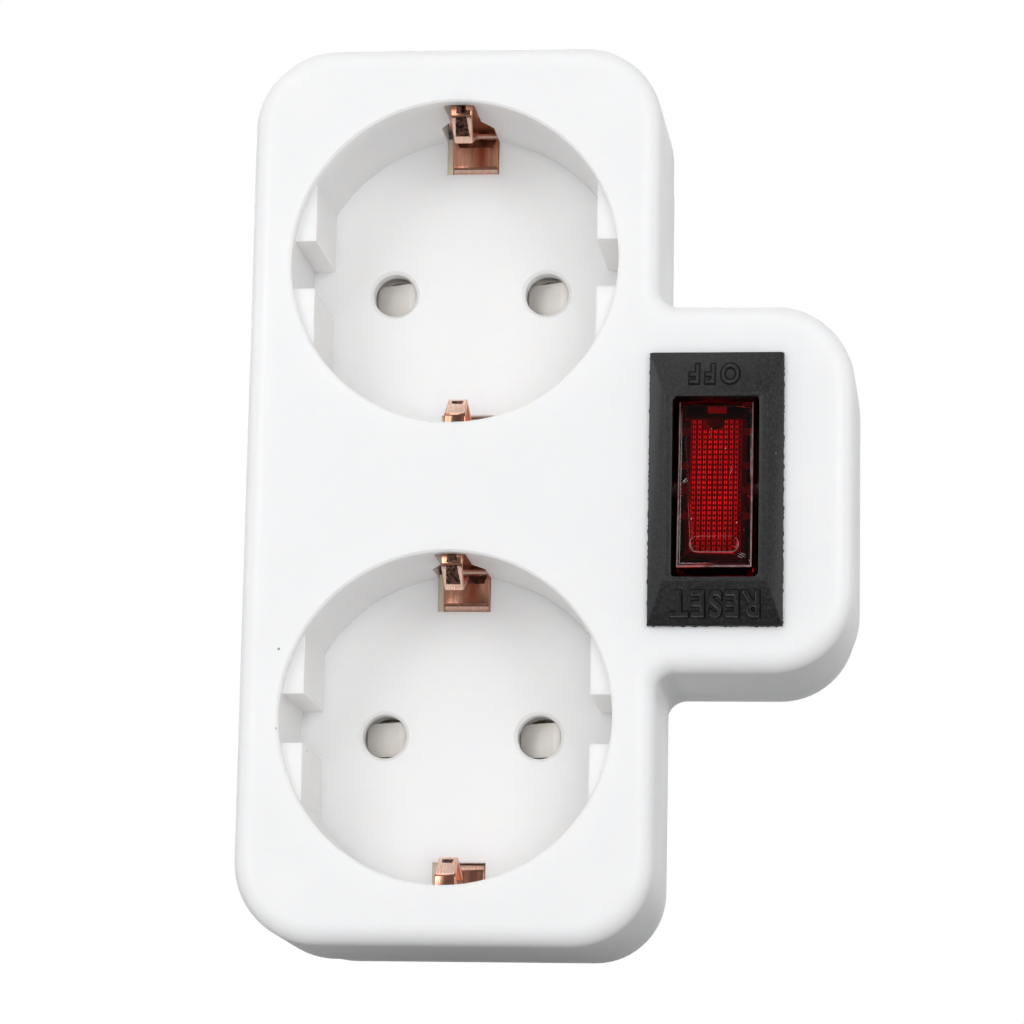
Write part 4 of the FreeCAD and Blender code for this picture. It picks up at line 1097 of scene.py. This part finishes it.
def cornersOf(node, face):
    return [node.data.vertices[i].co / mm for i in face.vertices]


def findRamp(node, s):
    corners = []
    normal = None
    for face in sorted(node.data.polygons, key=lambda f: -f.area):
        look = face.normal
        if face.center.y >= s["rampFront"] * mm:
            continue
        if look.y < s["rampLookY"] and abs(look.z) > s["rampLookZ"]:
            if normal is None:
                normal = look.copy()
            if look.dot(normal) > s["sameWay"]:
                corners += cornersOf(node, face)
    return normal, corners


def findFlat(node, s, place, out):
    front, back = (y * mm for y in place)
    corners = []
    for face in node.data.polygons:
        if face.normal.y < s["flatLookY"] and face.area > s["flatArea"]:
            if front < face.center.y < back:
                corners += cornersOf(node, face)
    return sorted(corners, key=lambda c: -out * c.z)


def middleAcross(corners):
    return (min(c.x for c in corners) + max(c.x for c in corners)) / 2


def makePatch(name, s, shape, normal, start, end, middleX, dice):
    deselectAll()
    bpy.ops.mesh.primitive_grid_add(x_subdivisions=shape["columns"],
                                    y_subdivisions=shape["rows"], size=1.0)
    patch = bpy.context.active_object
    patch.name = name
    for v in patch.data.vertices:
        part = v.co.y + 0.5
        along = shape["from"] + (shape["to"] - shape["from"]) * part
        wide = shape["narrow"] + (shape["wide"] - shape["narrow"]) * part
        atEdge = min(part, 1 - part, 0.5 - abs(v.co.x)) < s["rim"]
        loose = dice.uniform(-s["loose"], s["loose"]) if atEdge else 0.0
        height = s["rimRise"] if atEdge else s["knurl"] * dice.random()
        spot = start.lerp(end, along + loose * s["looseAlong"])
        spot.x = middleX + v.co.x * wide + loose
        v.co = (spot + normal * height) * mm
    addThickness(patch, s["patchThick"], 0.0)
    setFinish(patch, "tarnish")
    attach(patch, "housing")
    return patch


def makeClip(s, name, where, normal):
    piece = copyOfNode(name, "clip" + where)
    softenEdges(piece, s["soften"], s["softenSteps"], s["softenAngle"])
    smoothByAngle(piece, s["smoothAngle"])
    setFinish(piece, "copper")
    # faces turned like the ramp take the near-white copper: painted highlight
    piece.data.materials.append(finishes["polished"])
    for face in piece.data.polygons:
        if face.normal.dot(normal) > s["brightFacing"]:
            face.material_index = 1
    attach(piece, "housing")
    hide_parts(name)


def makeLedge(s, where, well, out):
    low, high = sorted(well + out * z for z in s["z"])
    ledge = boxPiece("pocketLedge" + where, (s["x"][0], s["y"][0], low), (s["x"][1], s["y"][1], high))
    softenEdges(ledge, s["soften"])
    # the ledge's olive-tan is painted shade with a copper tint
    setFinish(ledge, "ledge")
    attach(ledge, "housing")


def makeClips(s):
    dice = random.Random(s["seed"])
    facing = Vector((0, -1, 0))
    for name in sorted(nodes):
        if not name.startswith("earth_clip"):
            continue
        node = nodes[name]
        where = name.replace("earth_clip_", "").title().replace("_", "")
        out = 1 if where.endswith("Top") else -1
        normal, corners = findRamp(node, clipFaces)
        makeClip(s, name, where, normal)
        shape = s["longPatch"] if out > 0 else s["shortPatch"]
        middleX = middleAcross(corners)
        ends = min(corners, key=lambda c: c.y), max(corners, key=lambda c: c.y)
        # painted dark reflection down the clip's ramp
        makePatch("tarnish" + where, s, shape, normal, *ends, middleX, dice)
        # painted shade on the foot below the nose
        foot = findFlat(node, clipFaces, clipFaces["foot"], out)
        smudge = makePatch("smudge" + where, s, s["footPatch"], facing, foot[0], foot[-1],
                           middleAcross(foot), dice)
        setFinish(smudge, "smudge")
        if out > 0:
            crown = findFlat(node, clipFaces, clipFaces["crown"], out)
            # painted dark reflection on the crown
            makePatch("crown" + where, s, s["crownPatch"], facing, crown[0], crown[-1], middleX, dice)
        makeLedge(s["ledge"], where, s["wells"][where[:5]], out)


makeClips(clipShape)
print("clips rolled")


# room

roomSettings = {
    "floorZ": -62.0, "floorSize": 4.0, "floorTone": 0.56, "floorSeen": 0.93, "floorGloss": 0.2,
    "floorRough": 0.9, "skyLevel": 0.42, "skyFade": (-0.1, 0.0),
    "frontGloss": 0.10, "rearFade": (-0.35, 0.1),
    "lamps": {
        "leftSoftbox": {"turn": -25, "height": 13, "far": 1.3, "size": 0.5, "power": 2.95},
        "rightSoftbox": {"turn": 27, "height": 11, "far": 1.3, "size": 0.5, "power": 2.95},
        "frontFill": {"turn": 6, "height": -7, "far": 1.3, "size": 0.5, "power": 3.3, "matt": True},
        "rearSoftbox": {"turn": 197, "height": 28, "far": 1.3, "size": 0.7, "power": 3.4},
        "lowFill": {"turn": 4, "height": -20, "far": 1.3, "size": 0.9, "power": 0.9, "matt": True},
        "topSoftbox": {"turn": -20, "height": 52, "far": 1.3, "size": 0.6, "power": 1.6},
        "leftStrip": {"turn": -76, "height": 12, "far": 0.9, "size": 0.3, "power": 0.7},
        "rightStrip": {"turn": 78, "height": 12, "far": 0.9, "size": 0.3, "power": 0.6},
    },
}


def addFloor(s):
    deselectAll()
    bpy.ops.mesh.primitive_plane_add(size=s["floorSize"], location=(0, 0, s["floorZ"] * mm))
    floor = bpy.context.active_object
    floor.name = "studioFloor"
    settle(floor)
    material = bpy.data.materials.new("studioFloor")
    material.use_nodes = True
    tree = material.node_tree
    shader = tree.nodes["Principled BSDF"]
    shader.inputs["Roughness"].default_value = s["floorRough"]
    clear = tree.nodes.new("ShaderNodeBsdfTransparent")
    mix = tree.nodes.new("ShaderNodeMixShader")
    back = tree.nodes.new("ShaderNodeNewGeometry")
    path = tree.nodes.new("ShaderNodeLightPath")
    seen = mathNode(tree, "MAXIMUM", path.outputs["Is Camera Ray"], path.outputs["Is Transmission Ray"])
    mirrored = tree.nodes.new("ShaderNodeMix")
    mirrored.inputs["A"].default_value = s["floorTone"]
    mirrored.inputs["B"].default_value = s["floorGloss"]
    tree.links.new(path.outputs["Is Glossy Ray"], mirrored.inputs["Factor"])
    tone = tree.nodes.new("ShaderNodeMix")
    tree.links.new(mirrored.outputs["Result"], tone.inputs["A"])
    tone.inputs["B"].default_value = s["floorSeen"]
    tree.links.new(seen, tone.inputs["Factor"])
    tree.links.new(tone.outputs["Result"], shader.inputs["Base Color"])
    passing = mathNode(tree, "MAXIMUM", back.outputs["Backfacing"], path.outputs["Is Shadow Ray"])
    tree.links.new(passing, mix.inputs[0])
    tree.links.new(shader.outputs[0], mix.inputs[1])
    tree.links.new(clear.outputs[0], mix.inputs[2])
    tree.links.new(mix.outputs[0], tree.nodes["Material Output"].inputs["Surface"])
    floor.data.materials.append(material)


def addLamps(lamps):
    for name, s in lamps.items():
        data = bpy.data.lights.new(name, "AREA")
        data.shape = "SQUARE"
        data.size = s["size"]
        data.energy = s["power"]
        lamp = bpy.data.objects.new(name, data)
        bpy.context.scene.collection.objects.link(lamp)
        turn, height = math.radians(s["turn"]), math.radians(s["height"])
        away = Vector((math.sin(turn) * math.cos(height), -math.cos(turn) * math.cos(height),
                       math.sin(height)))
        lamp.location = away * s["far"]
        lamp.visible_glossy = not s.get("matt", False)
        lamp.rotation_euler = (-away).to_track_quat("-Z", "Y").to_euler()


def addSky(s):
    world = bpy.data.worlds.new("studioSky")
    bpy.context.scene.world = world
    world.use_nodes = True
    tree = world.node_tree
    background = tree.nodes["Background"]
    background.inputs["Color"].default_value = (1, 1, 1, 1)
    path = tree.nodes.new("ShaderNodeLightPath")
    coords = tree.nodes.new("ShaderNodeTexCoord")
    split = tree.nodes.new("ShaderNodeSeparateXYZ")
    tree.links.new(coords.outputs["Generated"], split.inputs[0])
    behind = tree.nodes.new("ShaderNodeMapRange")
    tree.links.new(split.outputs["Y"], behind.inputs["Value"])
    behind.inputs["From Min"].default_value = s["rearFade"][0]
    behind.inputs["From Max"].default_value = s["rearFade"][1]
    behind.inputs["To Min"].default_value = s["frontGloss"]
    behind.inputs["To Max"].default_value = 1.0
    gloss = mathNode(tree, "MAXIMUM", path.outputs["Is Glossy Ray"], path.outputs["Is Transmission Ray"])
    above = tree.nodes.new("ShaderNodeMapRange")
    tree.links.new(split.outputs["Z"], above.inputs["Value"])
    above.inputs["From Min"].default_value = s["skyFade"][0]
    above.inputs["From Max"].default_value = s["skyFade"][1]
    above.inputs["To Max"].default_value = s["skyLevel"]
    glossy = tree.nodes.new("ShaderNodeMix")
    tree.links.new(above.outputs["Result"], glossy.inputs["A"])
    tree.links.new(gloss, glossy.inputs["Factor"])
    tree.links.new(behind.outputs["Result"], glossy.inputs["B"])
    final = tree.nodes.new("ShaderNodeMix")
    final.inputs["B"].default_value = 1.0
    tree.links.new(path.outputs["Is Camera Ray"], final.inputs["Factor"])
    tree.links.new(glossy.outputs["Result"], final.inputs["A"])
    tree.links.new(final.outputs["Result"], background.inputs["Strength"])


addFloor(roomSettings)
addSky(roomSettings)
addLamps(roomSettings["lamps"])
print("room lit")
